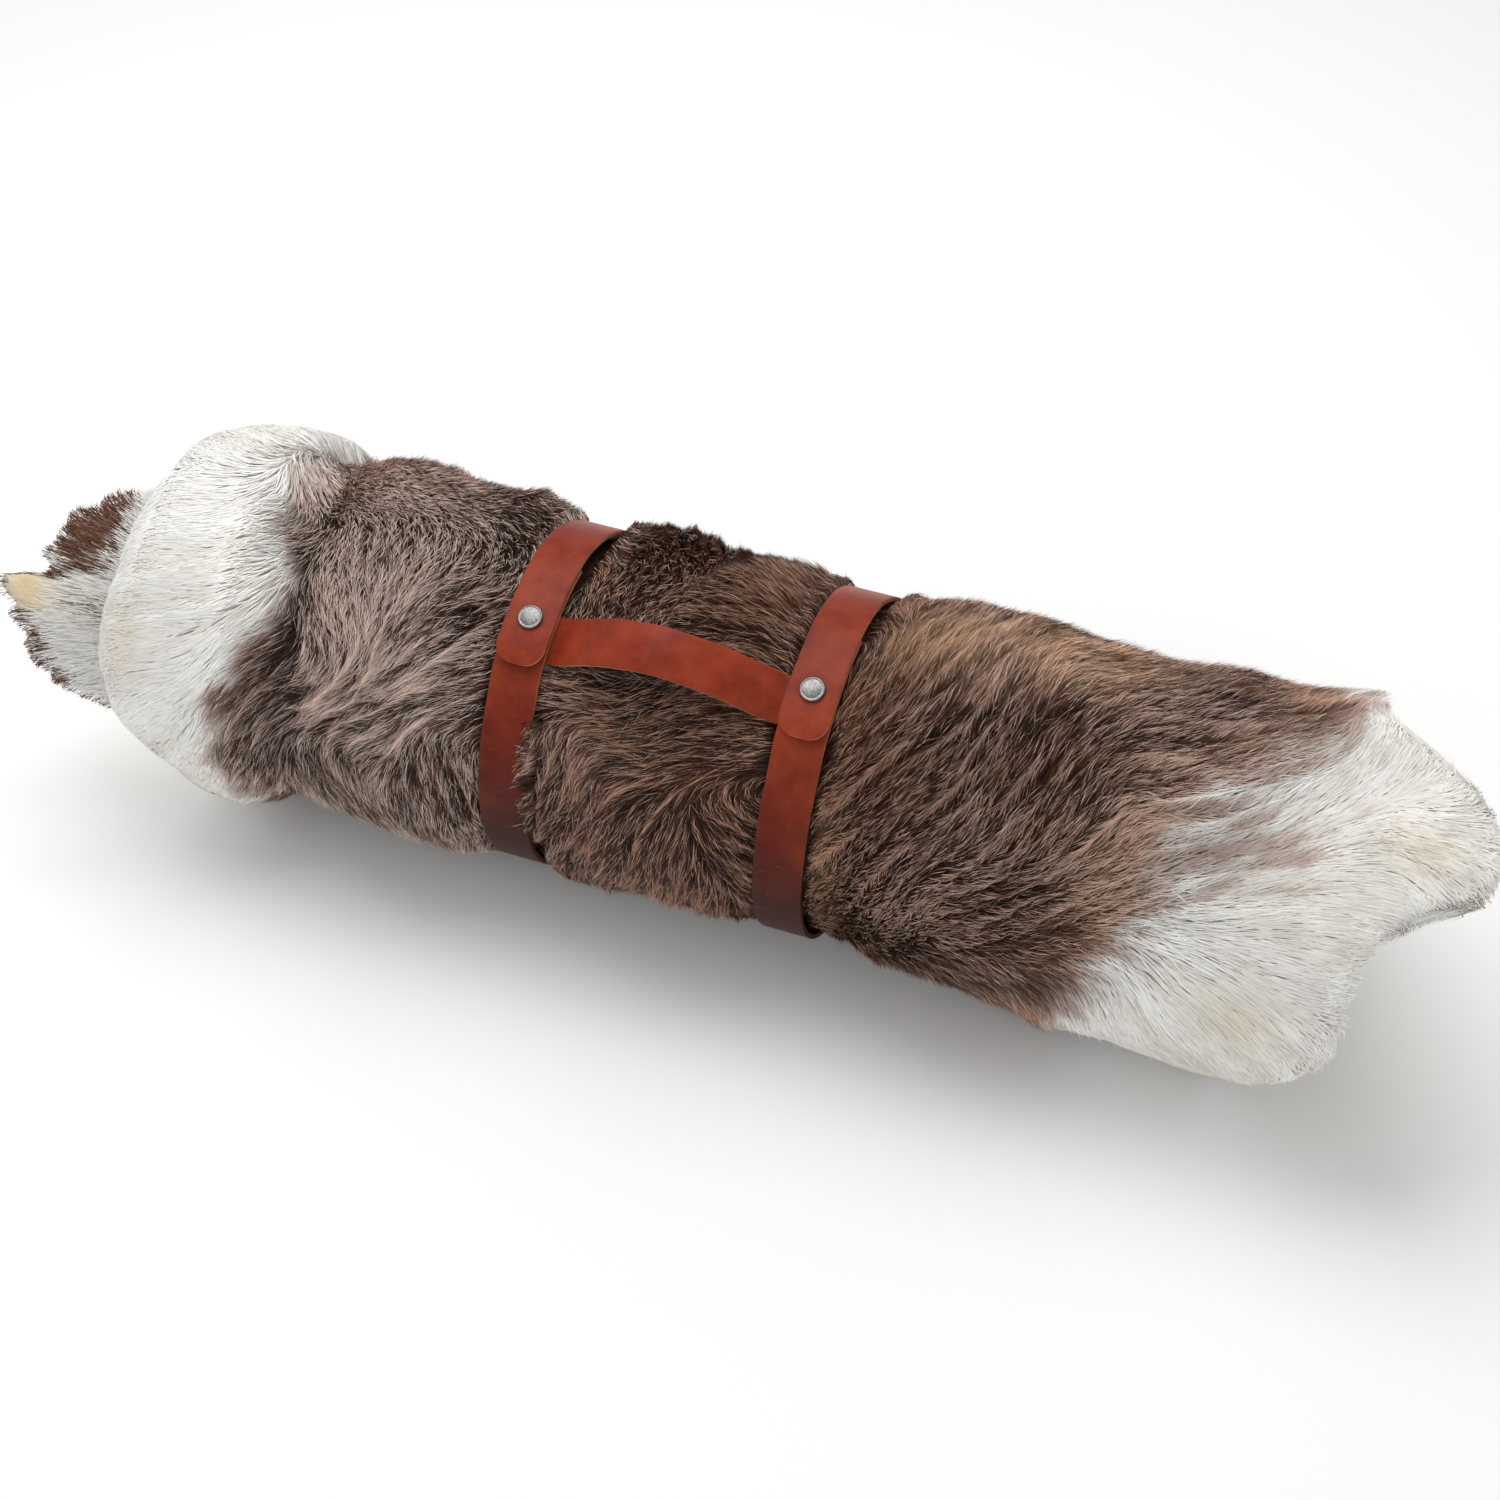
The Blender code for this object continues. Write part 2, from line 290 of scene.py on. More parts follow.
def flap_edge(turn):
    """The x of the inner turn's left edge, from the frame's loose flap, drawn to a tip."""
    points = np.array([v.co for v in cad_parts["hide_inner_flap"].data.vertices])
    angles = np.arctan2(points[:, 2] - AXIS_Z, -points[:, 1])
    columns = np.linspace(angles.min(), angles.max(), 28)
    nearest = np.abs(angles[:, None] - columns[None]).argmin(1)
    edge = np.array([points[nearest == c, 0].min() if (nearest == c).any() else np.nan
                     for c in range(len(columns))])
    held = ~np.isnan(edge)
    turn = np.mod(turn + math.pi, 2 * np.pi) - math.pi
    edge = np.interp(turn, columns[held], edge[held], left=0, right=0)
    middle, half, reach = FLAP_POINT
    tip = reach * np.exp(-(np.abs(turn - middle) / half) ** 1.4)
    scallops = 0.0028 * np.cos(turn * 26) + 0.0018 * np.cos(turn * 41 + 1)
    return edge - tip + scallops


def skin_rims(turn, layer):
    """The skin's left and right x at one turn and layer, each layer's uneven in its own way."""
    points = on_roll(layer * 0.2, turn, np.full_like(turn, 0.1))
    inner_left = -INNER_RIM + 0.008 * drift(points, 0.05, 11)
    inner_right = INNER_RIM + 0.012 * drift(points, 0.05, 12)
    inner_left = np.where(np.abs(layer - 1) < 0.6, np.minimum(inner_left, flap_edge(turn)),
                          inner_left)
    left = np.where(layer < 0.5, round_table(FORM_LEFT, turn) + RIM_HAIR[0], inner_left)
    right = np.where(layer < 0.5, round_table(FORM_RIGHT, turn) - RIM_HAIR[1], inner_right)
    return left, right


def skin_radius(x, turn, layer):
    """The skin's radius: under its hair on the outer turn, and a pitch further in on each."""
    inside = np.clip(x, -INNER_REACH, INNER_REACH)
    outer = pressed_radius(x, turn) - hair_depth(x)
    inner = coat_radius(inside, turn) - INNER_DEPTH
    buried = np.clip(layer, 0, 1)
    return outer * (1 - buried) + inner * buried - TURN_PITCH * layer


def linear(red, green, blue):
    """A colour as seen, 0 to 255, to the light values that shaders use."""
    seen = np.array([red, green, blue]) / 255
    return np.where(seen <= 0.04045, seen / 12.92, ((seen + 0.055) / 1.055) ** 2.4)


TONES = {
    "black_brown": linear(42, 24, 17),
    "dark": linear(66, 40, 29),
    "brown": linear(98, 62, 46),
    "warm": linear(138, 94, 70),
    "fawn": linear(186, 146, 122),
    "tan": linear(196, 154, 116),
    "grey": linear(160, 133, 122),
    "silver": linear(218, 200, 190),
    "cream": linear(228, 216, 188),
    "raw": linear(226, 205, 168),
    "white": linear(247, 246, 243),
    "shade": linear(221, 216, 209),
}
# where the white belly hair begins: turn in degrees, x
WHITE_LEFT = ((-60, -0.300), (-15, -0.303), (10, -0.299), (28, -0.290), (44, -0.280),
              (56, -0.270), (68, -0.276), (82, -0.284), (107, -0.288), (150, -0.296),
              (210, -0.300), (300, -0.300))
WHITE_RIGHT = ((-60, 0.245), (-38, 0.236), (-10, 0.255), (16, 0.276), (34, 0.290),
               (50, 0.300), (62, 0.310), (72, 0.328), (90, 0.354), (107, 0.372),
               (125, 0.370), (150, 0.320), (210, 0.285), (300, 0.245))
# coloured patches, some of them painted shade: x, turn in degrees, half length, half width, tone,
# strength
PATCHES = (
    (-0.240, 108, 0.046, 0.036, "fawn", 0.95),
    (-0.228, 110, 0.040, 0.026, "silver", 0.60),
    (-0.200, 110, 0.034, 0.018, "warm", 0.60),
    (-0.225, 62, 0.022, 0.045, "grey", 0.40),
    (-0.240, 30, 0.016, 0.024, "grey", 0.45),
    (-0.190, 20, 0.040, 0.026, "grey", 0.30),
    # the next three rows are painted shade in the valley beside the white collar
    (-0.266, 64, 0.009, 0.034, "dark", 0.85),
    (-0.257, 32, 0.009, 0.040, "black_brown", 0.60),
    (-0.262, -4, 0.024, 0.020, "black_brown", 0.60),
    (-0.290, 24, 0.012, 0.030, "fawn", 0.45),
    (-0.148, 62, 0.014, 0.050, "dark", 0.55),
    (-0.165, 97, 0.020, 0.030, "brown", 0.30),
    (-0.140, 92, 0.014, 0.030, "dark", 0.60),
    (-0.175, -20, 0.060, 0.014, "dark", 0.50),
    (-0.064, 95, 0.025, 0.025, "brown", 0.30),
    (0.010, 100, 0.035, 0.020, "warm", 0.60),
    (0.030, 84, 0.016, 0.014, "black_brown", 0.50),
    (-0.020, 50, 0.040, 0.010, "black_brown", 0.80),
    (-0.052, 62, 0.030, 0.016, "dark", 0.50),
    (-0.060, 26, 0.016, 0.028, "grey", 0.35),
    (0.005, 28, 0.040, 0.018, "warm", 0.45),
    (0.022, 2, 0.030, 0.024, "dark", 0.30),
    (0.092, 66, 0.014, 0.022, "warm", 0.60),
    (0.093, 14, 0.010, 0.040, "tan", 0.60),
    (0.110, -12, 0.030, 0.014, "tan", 0.55),
    (0.120, 94, 0.032, 0.020, "tan", 0.90),
    (0.155, 106, 0.040, 0.020, "tan", 0.85),
    (0.210, 100, 0.046, 0.022, "tan", 0.85),
    (0.215, 116, 0.055, 0.016, "tan", 0.75),
    (0.160, 82, 0.020, 0.008, "fawn", 0.60),
    (0.180, 70, 0.035, 0.012, "black_brown", 0.55),
    (0.150, 60, 0.030, 0.020, "dark", 0.55),
    (0.205, 56, 0.030, 0.014, "brown", 0.50),
    (0.250, 78, 0.045, 0.012, "dark", 0.75),
    (0.300, 93, 0.045, 0.014, "black_brown", 0.70),
    (0.262, 58, 0.014, 0.014, "black_brown", 0.50),
    (0.180, 34, 0.030, 0.020, "grey", 0.25),
    (0.215, 44, 0.014, 0.022, "warm", 0.40),
    (0.262, 42, 0.020, 0.016, "fawn", 0.60),
    (0.285, 52, 0.024, 0.012, "fawn", 0.60),
    (0.245, 14, 0.016, 0.026, "warm", 0.70),
    (0.250, 32, 0.020, 0.030, "fawn", 0.50),
    (0.340, 107, 0.024, 0.012, "warm", 0.60),
    (0.150, -6, 0.050, 0.008, "black_brown", 0.60),
    (0.225, -12, 0.024, 0.018, "dark", 0.70),
    (0.355, 60, 0.050, 0.045, "grey", 0.75),
    (0.395, 78, 0.040, 0.050, "grey", 0.70),
)
# brown hairs that run on into the white: x, turn in degrees, half length, half width, share
STREAKS = (
    (0.322, 52, 0.022, 0.016, 0.28),
    (0.340, 50, 0.022, 0.014, 0.23),
    (0.352, 62, 0.024, 0.014, 0.23),
    (0.366, 76, 0.018, 0.012, 0.21),
    (0.388, 90, 0.012, 0.012, 0.23),
    (0.381, 84, 0.010, 0.010, 0.17),
    (0.404, 60, 0.016, 0.008, 0.08),
    (0.376, 53, 0.022, 0.007, 0.14),
    (0.326, 34, 0.014, 0.006, 0.28),
    (0.310, 40, 0.014, 0.012, 0.17),
    (-0.300, 12, 0.014, 0.040, 0.35),
    (-0.296, 100, 0.014, 0.030, 0.25),
)
# the border is broad and gentle round these places: x, turn in degrees, half length, half width
GENTLE_LEFT = (-0.27, 108, 0.05, 0.05)
GENTLE_RIGHT = (0.33, 54, 0.09, 0.065)
FLAP_TIP = (-0.445, 32, 0.018, 0.016)      # the flap's nearly bare tip, in the same way


def border(rows, turn):
    """The x of a border at each turn."""
    degrees = np.mod(np.degrees(turn) + 60, 360) - 60
    return np.interp(degrees, [row[0] for row in rows], [row[1] for row in rows])


def whiteness(x, turn, points):
    """0 on brown hair and 1 on white, with a border that wanders and frays."""
    fray = 0.008 * drift(points, 0.022, 21) + 0.005 * drift(points, 0.008, 22)
    width = 0.014 + 0.010 * patch_share(x, turn, GENTLE_LEFT)
    left = smooth(1, -1, (x - border(WHITE_LEFT, turn) + fray) / width)
    width = 0.021 + 0.040 * patch_share(x, turn, GENTLE_RIGHT)
    right = smooth(-1, 1, (x - border(WHITE_RIGHT, turn) + fray) / width)
    white = np.maximum(left, right)
    for row in STREAKS:
        white = white * (1 - row[4] * patch_share(x, turn, row))
    return white


def brown_coat(x, turn, points):
    """Colour of the brown hair at each place."""
    wander = 0.28 * drift(points, 0.045, 23) + 0.26 * drift(points, 0.018, 24)
    colour = TONES["brown"] * (1 + wander)[:, None]
    greyer = smooth(-0.13, -0.17, x)[:, None] * 0.16
    colour = colour * (1 - greyer) + TONES["grey"] * greyer
    edge = x - border(WHITE_RIGHT, turn) + 0.018
    blush = 0.85 * np.exp(-(edge / 0.026) ** 2)[:, None]
    colour = colour * (1 - blush) + TONES["fawn"] * blush
    for row in PATCHES:
        share = (row[5] * patch_share(x, turn, row))[:, None]
        colour = colour * (1 - share) + TONES[row[4]] * share
    return colour


def clean_mesh(name, bm):
    mesh = bpy.data.meshes.new(name)
    bm.to_mesh(mesh)
    bm.free()
    return mesh


def unit_grid(name, columns, rows):
    bm = bmesh.new()
    bmesh.ops.create_grid(bm, x_segments=columns, y_segments=rows, size=0.5)
    return clean_mesh(name, bm)


def grid_places(mesh):
    """Each vertex of a unit grid as two shares from 0 to 1."""
    flat = np.empty(len(mesh.vertices) * 3)
    mesh.vertices.foreach_get("co", flat)
    flat = flat.reshape(-1, 3) + 0.5
    return flat[:, 0], flat[:, 1]


def store_colour(mesh, name, colour):
    layer = mesh.color_attributes.new(name, "FLOAT_COLOR", "POINT")
    layer.data.foreach_set("color", np.c_[colour, np.ones(len(colour))].ravel())


ON_FLOOR = 0.004          # the skin's lowest turn keeps this clear of the floor
ROOT_SHADE = 0.35         # brown hair is this much darker at the skin


def make_skin():
    """A grid wound into the roll, coloured like the roots of its hair."""
    mesh = unit_grid("hide_skin", 64, 300)
    u, v = grid_places(mesh)
    wound = v * TURNS_WOUND
    turn = EDGE_TURN - wound * 2 * np.pi
    layer = layer_at(wound)
    left, right = skin_rims(turn, layer)
    x = left + (right - left) * u
    radius = skin_radius(x, turn, layer)
    points = on_roll(x, turn, radius)
    points[:, 2] = np.maximum(points[:, 2], ON_FLOOR)
    mesh.vertices.foreach_set("co", points.ravel())
    mesh.flip_normals()
    white = whiteness(x, turn, points)[:, None]
    white = np.where((layer > 0.5)[:, None], 1, white)
    coat = brown_coat(x, turn, points) * ROOT_SHADE * (1 - white) + TONES["white"] * white
    raw = (smooth(0.5, 0.9, layer) * np.clip(2 * patch_share(x, turn, FLAP_TIP), 0, 1))[:, None]
    store_colour(mesh, "coat", coat * (1 - raw) + TONES["raw"] * raw)
    return mesh


def node_maker(tree):
    """A shorthand for adding nodes to a tree: values are for sockets or settings."""
    def node(kind, **values):
        made = tree.nodes.new("ShaderNode" + kind)
        for key, value in values.items():
            if key in made.inputs:
                made.inputs[key].default_value = value
            else:
                setattr(made, key, value)
        return made

    return node


def two_tones(node, low, dark, high, light):
    """A colour ramp from dark at low to light at high."""
    ramp = node("ValToRGB")
    for element, position, colour in zip(ramp.color_ramp.elements, (low, high), (dark, light)):
        element.position = position
        element.color = (*colour, 1)
    return ramp


def spread(node, low, high, to_low, to_high):
    """A value from low to high mapped to one from to_low to to_high."""
    made = node("MapRange")
    for socket, value in zip(("From Min", "From Max", "To Min", "To Max"),
                             (low, high, to_low, to_high)):
        made.inputs[socket].default_value = value
    return made


def new_material(name):
    """A material, its Principled shader, and shorthands for adding nodes and links."""
    material = bpy.data.materials.new(name)
    material.use_nodes = True
    tree = material.node_tree
    return material, tree.nodes["Principled BSDF"], node_maker(tree), tree.links.new


def coat_material(name, roughness, bump=0.0):
    """Hair colour from the mesh's own attribute."""
    material, shader, node, link = new_material(name)
    colour = node("Attribute", attribute_name="coat")
    link(colour.outputs["Color"], shader.inputs["Base Color"])
    shader.inputs["Roughness"].default_value = roughness
    shader.inputs["Specular IOR Level"].default_value = 0.18
    if bump:
        place = node("TexCoord")
        grain = node("TexNoise", Scale=420.0, Detail=3.0)
        relief = node("Bump", Strength=bump, Distance=0.002)
        link(place.outputs["Object"], grain.inputs["Vector"])
        link(grain.outputs["Fac"], relief.inputs["Height"])
        link(relief.outputs["Normal"], shader.inputs["Normal"])
    return material


def flesh_material():
    """The tanned flesh side: cream suede with yellow and grey clouds."""
    material, shader, node, link = new_material("flesh_side")
    place = node("TexCoord")
    clouds = node("TexNoise", Scale=26.0, Detail=5.0, Roughness=0.6)
    ramp = two_tones(node, 0.35, linear(196, 172, 128), 0.7, linear(232, 218, 184))
    nap = node("TexNoise", Scale=700.0, Detail=2.0)
    relief = node("Bump", Strength=0.3, Distance=0.0006)
    link(place.outputs["Object"], clouds.inputs["Vector"])
    link(place.outputs["Object"], nap.inputs["Vector"])
    link(clouds.outputs["Fac"], ramp.inputs["Fac"])
    link(ramp.outputs["Color"], shader.inputs["Base Color"])
    link(nap.outputs["Fac"], relief.inputs["Height"])
    link(relief.outputs["Normal"], shader.inputs["Normal"])
    shader.inputs["Roughness"].default_value = 0.85
    shader.inputs["Specular IOR Level"].default_value = 0.2
    return material


def add_object(name, mesh, *materials):
    for material in materials:
        mesh.materials.append(material)
    ob = bpy.data.objects.new(name, mesh)
    bpy.context.scene.collection.objects.link(ob)
    return ob


flesh = flesh_material()
skin = add_object("hide_skin", make_skin(), coat_material("undercoat", 0.9, 0.6), flesh)
walls = skin.modifiers.new("thickness", "SOLIDIFY")
walls.thickness = SKIN_THICK
walls.offset = -1
walls.material_offset = 1
walls.material_offset_rim = 1
skin.data.shade_smooth()
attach(skin, "root")
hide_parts("hide_roll", "hide_inner_flap")

# ---------------------------------------------------------------- the hair
# The hide's own coat: dense hollow hair, short and brown along the back, long and white at
# the belly, which the winding puts at both ends. It grows from the skin in locks that lean
# one over the next, along the lie of the coat.
LIE_SPREAD = 0.016        # how far one row of the table is felt, in metres
FIELD_PITCH = 0.0013      # spacing of the tables that hold the locks
FIELD_X = np.arange(cad_low[0] - 0.02, cad_high[0] + 0.02, FIELD_PITCH)
FIELD_TURNS = 560
# the lie of the coat: x in mm, turn in degrees, way it points in degrees, with 0 along +X
# and 90 up round the roll
LIE = (
    # the white collar at the left end
    (-345, 105, 170), (-335, 65, -165), (-320, 50, -165), (-335, 25, -160), (-348, 5, -140),
    (-295, 65, -155), (-275, 40, -130), (-285, 20, -120), (-295, 0, -105), (-320, -5, -130),
    # the whorl beside it
    (-275, 70, -105), (-250, 58, -60), (-235, 50, -40), (-220, 45, -30), (-255, 95, -45),
    (-225, 100, -35), (-190, 105, -30), (-155, 100, -35), (-220, 70, -70), (-215, 57, -70),
    (-195, 75, -80), (-185, 55, -105), (-210, 38, -135), (-225, 26, -135), (-155, 54, -130),
    (-150, 40, -150), (-195, 17, -155), (-160, 10, -70), (-225, 0, -40), (-247, 13, -145),
    # between the straps
    (-137, 85, -80), (-140, 68, -130), (-86, 105, -35), (-58, 92, -105), (-67, 76, -75),
    (-40, 105, -65), (0, 92, -147), (25, 106, 177), (53, 92, 170), (-64, 52, -175),
    (-10, 55, -145), (30, 50, -155), (-23, 45, -135), (18, 36, -165), (-35, 32, 165),
    (-60, 24, -80), (-77, 10, -113), (-13, 17, -120), (31, 23, -22), (43, 10, -26),
    (-50, -7, -112), (-2, 2, -98),
    # right of the straps
    (92, 61, 63), (98, 36, 53), (96, 13, 63), (97, 76, 73), (112, 52, 50), (196, 66, 73),
    (217, 46, 65), (251, 32, 43), (220, 18, 38), (242, 5, 35), (235, -11, 12), (218, 111, -3),
    (276, 105, 4), (258, 86, 12), (307, 98, 16), (338, 113, 48), (328, 90, 27), (285, 69, 19),
    (224, 81, 42), (172, 91, 74), (154, 104, 60), (289, 28, 36), (318, 41, 40), (344, 58, 46),
    # the white lobes at the right end
    (364, 70, 58), (381, 83, 71), (389, 100, 85), (407, 94, 66), (420, 81, 36), (437, 73, 17),
    (445, 62, -11), (441, 53, -37), (408, 69, -6), (393, 64, 10), (423, 57, -37),
    (365, 52, 15), (386, 46, 0), (337, 39, 20), (310, 22, 0), (294, 14, -30), (330, 14, -18),
    (361, 24, 0), (388, 24, 6), (317, 0, -49), (353, 1, -42), (380, 0, -30), (263, -5, -72),
    (245, -19, -77), (366, -18, -65),
    # the back and underside
    *((x, turn, way) for turn in (140, 180, 220, 260, 300)
      for x, way in ((-340, 180), (-220, -40), (-60, -70), (90, 70), (220, 30), (360, 5))),
)


def make_lie():
    """Unit vectors (along x, up round the roll) on a coarse grid."""
    rows = np.array(LIE, float)
    xs = np.linspace(FIELD_X[0], FIELD_X[-1], 150)
    turns = np.arange(120) * 2 * np.pi / 120
    gx, gt = np.meshgrid(xs, turns, indexing="ij")
    away = np.mod(gt[..., None] - np.radians(rows[:, 1]) + math.pi, 2 * np.pi) - math.pi
    reach = (gx[..., None] - rows[:, 0] / 1000) ** 2 + (away * ROLL_MEAN) ** 2
    weight = np.exp(-reach / (2 * LIE_SPREAD ** 2)) + 1e-4 / (1 + reach / 0.001) ** 2
    ways = np.radians(rows[:, 2])
    lie = np.stack([(weight * np.cos(ways)).sum(-1), (weight * np.sin(ways)).sum(-1)], -1)
    return xs, lie / np.linalg.norm(lie, axis=-1, keepdims=True)


LIE_X, LIE_WAY = make_lie()


def lie_at(x, turn):
    way = read_field(LIE_WAY, LIE_X, x, turn)
    return way / np.linalg.norm(way, axis=-1, keepdims=True)


def step_along(x, turn, way, distance):
    return x + way[..., 0] * distance, turn + way[..., 1] * distance / ROLL_MEAN


def make_locks(width, reach, seed):
    """The locks of the coat: random values width across, drawn out to reach along the lie."""
    turns = np.arange(FIELD_TURNS) * 2 * np.pi / FIELD_TURNS
    x, turn = np.meshgrid(FIELD_X, turns, indexing="ij")
    table = drift(on_roll(x.ravel(), turn.ravel(), ROLL_MEAN), width, seed).reshape(x.shape)
    way = lie_at(x, turn)
    for distance in (reach / 8, 3 * reach / 8):
        ahead = read_field(table, FIELD_X, *step_along(x, turn, way, distance))
        behind = read_field(table, FIELD_X, *step_along(x, turn, way, -distance))
        table = (table + ahead + behind) / 3
    return table / table.std()


SHORT_LOCKS = make_locks(0.0042, 0.026, 31)       # of the brown hair
LONG_LOCKS = make_locks(0.0085, 0.055, 32)        # of the white hair
LOCK_REACH = 0.0016       # a lock's slope is taken over this distance
LOCK_PULL = 0.0022        # hair tips are drawn this far towards the crest of their lock
PULL_SHARES = (0, 0.4, 1)      # the pull at a ribbon's root, middle and tip
BROWN_RELIEF, WHITE_FLATTER = 0.0015, 0.0011      # height of brown locks, and how much less white
BROWN_TWIST, WHITE_STEADIER = 0.42, 0.36      # how far ribbons twist, in radians
MID_DEPTH, WHITE_HIGHER = 0.38, 0.24      # shares of the hair's depth at a ribbon's middle
RIM_HELD = 0.9            # share of what would pass a rim that is turned back
WAVER = 0.7               # how much of a ribbon's stray is new at each step
ROOT, MID, TIP = range(3)
HAIR_WIDE = 0.00044       # a ribbon stands for a few hairs side by side
ROOT_WIDE = 0.8           # of that at its root
WHITE_LENGTH, BROWN_LENGTH = 0.036, 0.0145


def across(way):
    """The direction square to a way, towards its left as seen from outside."""
    return np.stack([-way[..., 1], way[..., 0]], -1)


def turned(way, angle):
    c, s = np.cos(angle), np.sin(angle)
    return np.stack([way[..., 0] * c - way[..., 1] * s, way[..., 0] * s + way[..., 1] * c], -1)


def locks_at(x, turn, white):
    short = read_field(SHORT_LOCKS, FIELD_X, x, turn)
    long = read_field(LONG_LOCKS, FIELD_X, x, turn)
    return short * (1 - white) + long * white


def lock_slope(x, turn, way, white):
    """How the locks rise to the left of the lie, over one reach."""
    side = across(way)
    left = locks_at(*step_along(x, turn, side, LOCK_REACH), white)
    right = locks_at(*step_along(x, turn, side, -LOCK_REACH), white)
    return (left - right) / 2


def scatter(x_low, x_high, turn_low, turn_high, pitch, rng):
    """One place in each cell of a jittered grid on x and turn."""
    rows = int((x_high - x_low) / pitch)
    columns = int((turn_high - turn_low) * ROLL_MEAN / pitch)
    i, j = np.meshgrid(np.arange(rows), np.arange(columns), indexing="ij")
    x = x_low + (i.ravel() + rng.random(rows * columns)) * (x_high - x_low) / rows
    share = (j.ravel() + rng.random(rows * columns)) / columns
    return x, turn_low + share * (turn_high - turn_low)


def lay_hair(x, turn, white, length, depth, surface, way_at, rims, rng, lift, stray,
             ragged=0.0026):
    """Follows each ribbon from the skin, along the lie, up to the outer surface.

    The ribbon's tip turns back at the rims, give or take ragged, and lift takes it clear of
    the surface. stray is how far its way is from its neighbours', in radians."""
    count = len(x)
    own = rng.normal(0, 1, count) * stray
    places = [(x, turn)]
    ways = [turned(way_at(x, turn), own)]
    end = rng.normal(0, ragged, count)
    for _ in range(2):
        px, pt = step_along(*places[-1], ways[-1], length / 2)
        left, right = rims(pt)
        px = px - RIM_HELD * np.clip(px - right - end, 0, None)
        px = px + RIM_HELD * np.clip(left - end - px, 0, None)
        places.append((px, pt))
        ways.append(turned(way_at(px, pt), own + rng.normal(0, WAVER, count) * stray))
    points = np.empty((count, 3, 3))
    sides = np.empty((count, 3, 3))
    locks = locks_at(*places[TIP], white)
    slope = lock_slope(*places[TIP], ways[TIP], white)
    relief = BROWN_RELIEF - WHITE_FLATTER * white
    middle = (WHITE_HIGHER * white - MID_DEPTH) * depth + 0.5 * relief * locks
    rise = (-depth, middle, relief * locks + lift)
    pull = LOCK_PULL * slope
    twist = rng.normal(0, 1, count) * (BROWN_TWIST - WHITE_STEADIER * white)
    for k in (ROOT, MID, TIP):
        px, pt = step_along(*places[k], across(ways[k]), pull * PULL_SHARES[k])
        points[:, k] = on_roll(px, pt, surface(px, pt) + rise[k])
        side = across(ways[k])
        tangent = np.stack([np.zeros(count), np.sin(pt), np.cos(pt)], -1)
        lean = relief * slope / LOCK_REACH
        flat = side[:, :1] * [1, 0, 0] + side[:, 1:] * tangent + outward(pt) * lean[:, None]
        flat /= np.linalg.norm(flat, axis=-1, keepdims=True)
        sides[:, k] = flat * np.cos(twist)[:, None] + outward(pt) * np.sin(twist)[:, None]
    seen = [(a + b) / 2 for a, b in zip(places[MID], places[TIP])]
    return points, sides, seen


HAIR_ON_FLOOR = 0.0006    # no hair goes lower


def hair_mesh(name, points, sides, width, colour):
    """Joins ribbons of five points each, broad at the root and pointed at the tip."""
    count = len(points)
    half = width[:, None] / 2
    corners = np.stack([
        points[:, ROOT] + sides[:, ROOT] * half * ROOT_WIDE,
        points[:, ROOT] - sides[:, ROOT] * half * ROOT_WIDE,
        points[:, MID] + sides[:, MID] * half,
        points[:, MID] - sides[:, MID] * half,
        points[:, TIP]], 1)
    corners[..., 2] = np.maximum(corners[..., 2], HAIR_ON_FLOOR)
    mesh = bpy.data.meshes.new(name)
    mesh.vertices.add(count * 5)
    mesh.vertices.foreach_set("co", corners.ravel())
    order = np.array([0, 1, 3, 2, 2, 3, 4])
    mesh.loops.add(count * 7)
    mesh.loops.foreach_set("vertex_index", (np.arange(count)[:, None] * 5 + order).ravel())
    mesh.polygons.add(count * 2)
    starts = np.arange(count)[:, None] * 7 + np.array([0, 4])
    mesh.polygons.foreach_set("loop_start", starts.ravel())
    mesh.update(calc_edges=True)
    mesh.shade_smooth()
    store_colour(mesh, "coat", colour[:, [ROOT, ROOT, MID, MID, TIP]].reshape(-1, 3))
    cells = math.ceil(math.sqrt(count))      # each ribbon has its own small cell of the UV map
    cell = np.stack([np.arange(count) % cells, np.arange(count) // cells], -1)
    spots = np.array([(0.1, 0.1), (0.9, 0.1), (0.9, 0.5), (0.1, 0.5),
                      (0.1, 0.5), (0.9, 0.5), (0.5, 0.95)])
    layer = mesh.uv_layers.new(name="OFBake")
    layer.data.foreach_set("uv", ((cell[:, None] + spots) / cells).ravel())
    return mesh


def blend(low, high, share):
    return low + (high - low) * share[:, None]


# how many of the brown hairs carry a pale band: x, turn in degrees, half length,
# half width, share
FROST = (
    (-0.205, 57, 0.036, 0.042, 0.65),
    (-0.205, 26, 0.045, 0.030, 0.40),
    (-0.228, 92, 0.036, 0.036, 0.45),
    (0.152, 12, 0.050, 0.034, 0.50),
    (0.209, 98, 0.045, 0.024, 0.45),
    (-0.235, 106, 0.044, 0.036, 0.90),
    # fewer pale bands here: painted shade in the valley beside the white collar
    (-0.262, 40, 0.008, 0.070, -0.35),
    (-0.176, 92, 0.026, 0.026, 0.30),
    (-0.140, 96, 0.014, 0.030, -0.20),
    (-0.075, 24, 0.020, 0.026, 0.35),
    (0.010, 100, 0.040, 0.020, 0.10),
    (0.110, 8, 0.030, 0.030, 0.22),
    (0.200, 40, 0.040, 0.030, 0.15),
    (0.225, 66, 0.050, 0.026, -0.12),
    (0.268, 36, 0.032, 0.065, 0.75),
    (0.345, 62, 0.050, 0.045, 0.60),
)
# cream stains in the white: x, turn in degrees, half length, half width
STAINS = ((-0.362, 28, 0.010, 0.030), (0.345, 4, 0.020, 0.016), (0.418, 64, 0.016, 0.014))
# where brown and white run into each other in long streaks, in the same way
STREAKY = (0.34, 58, 0.07, 0.055)


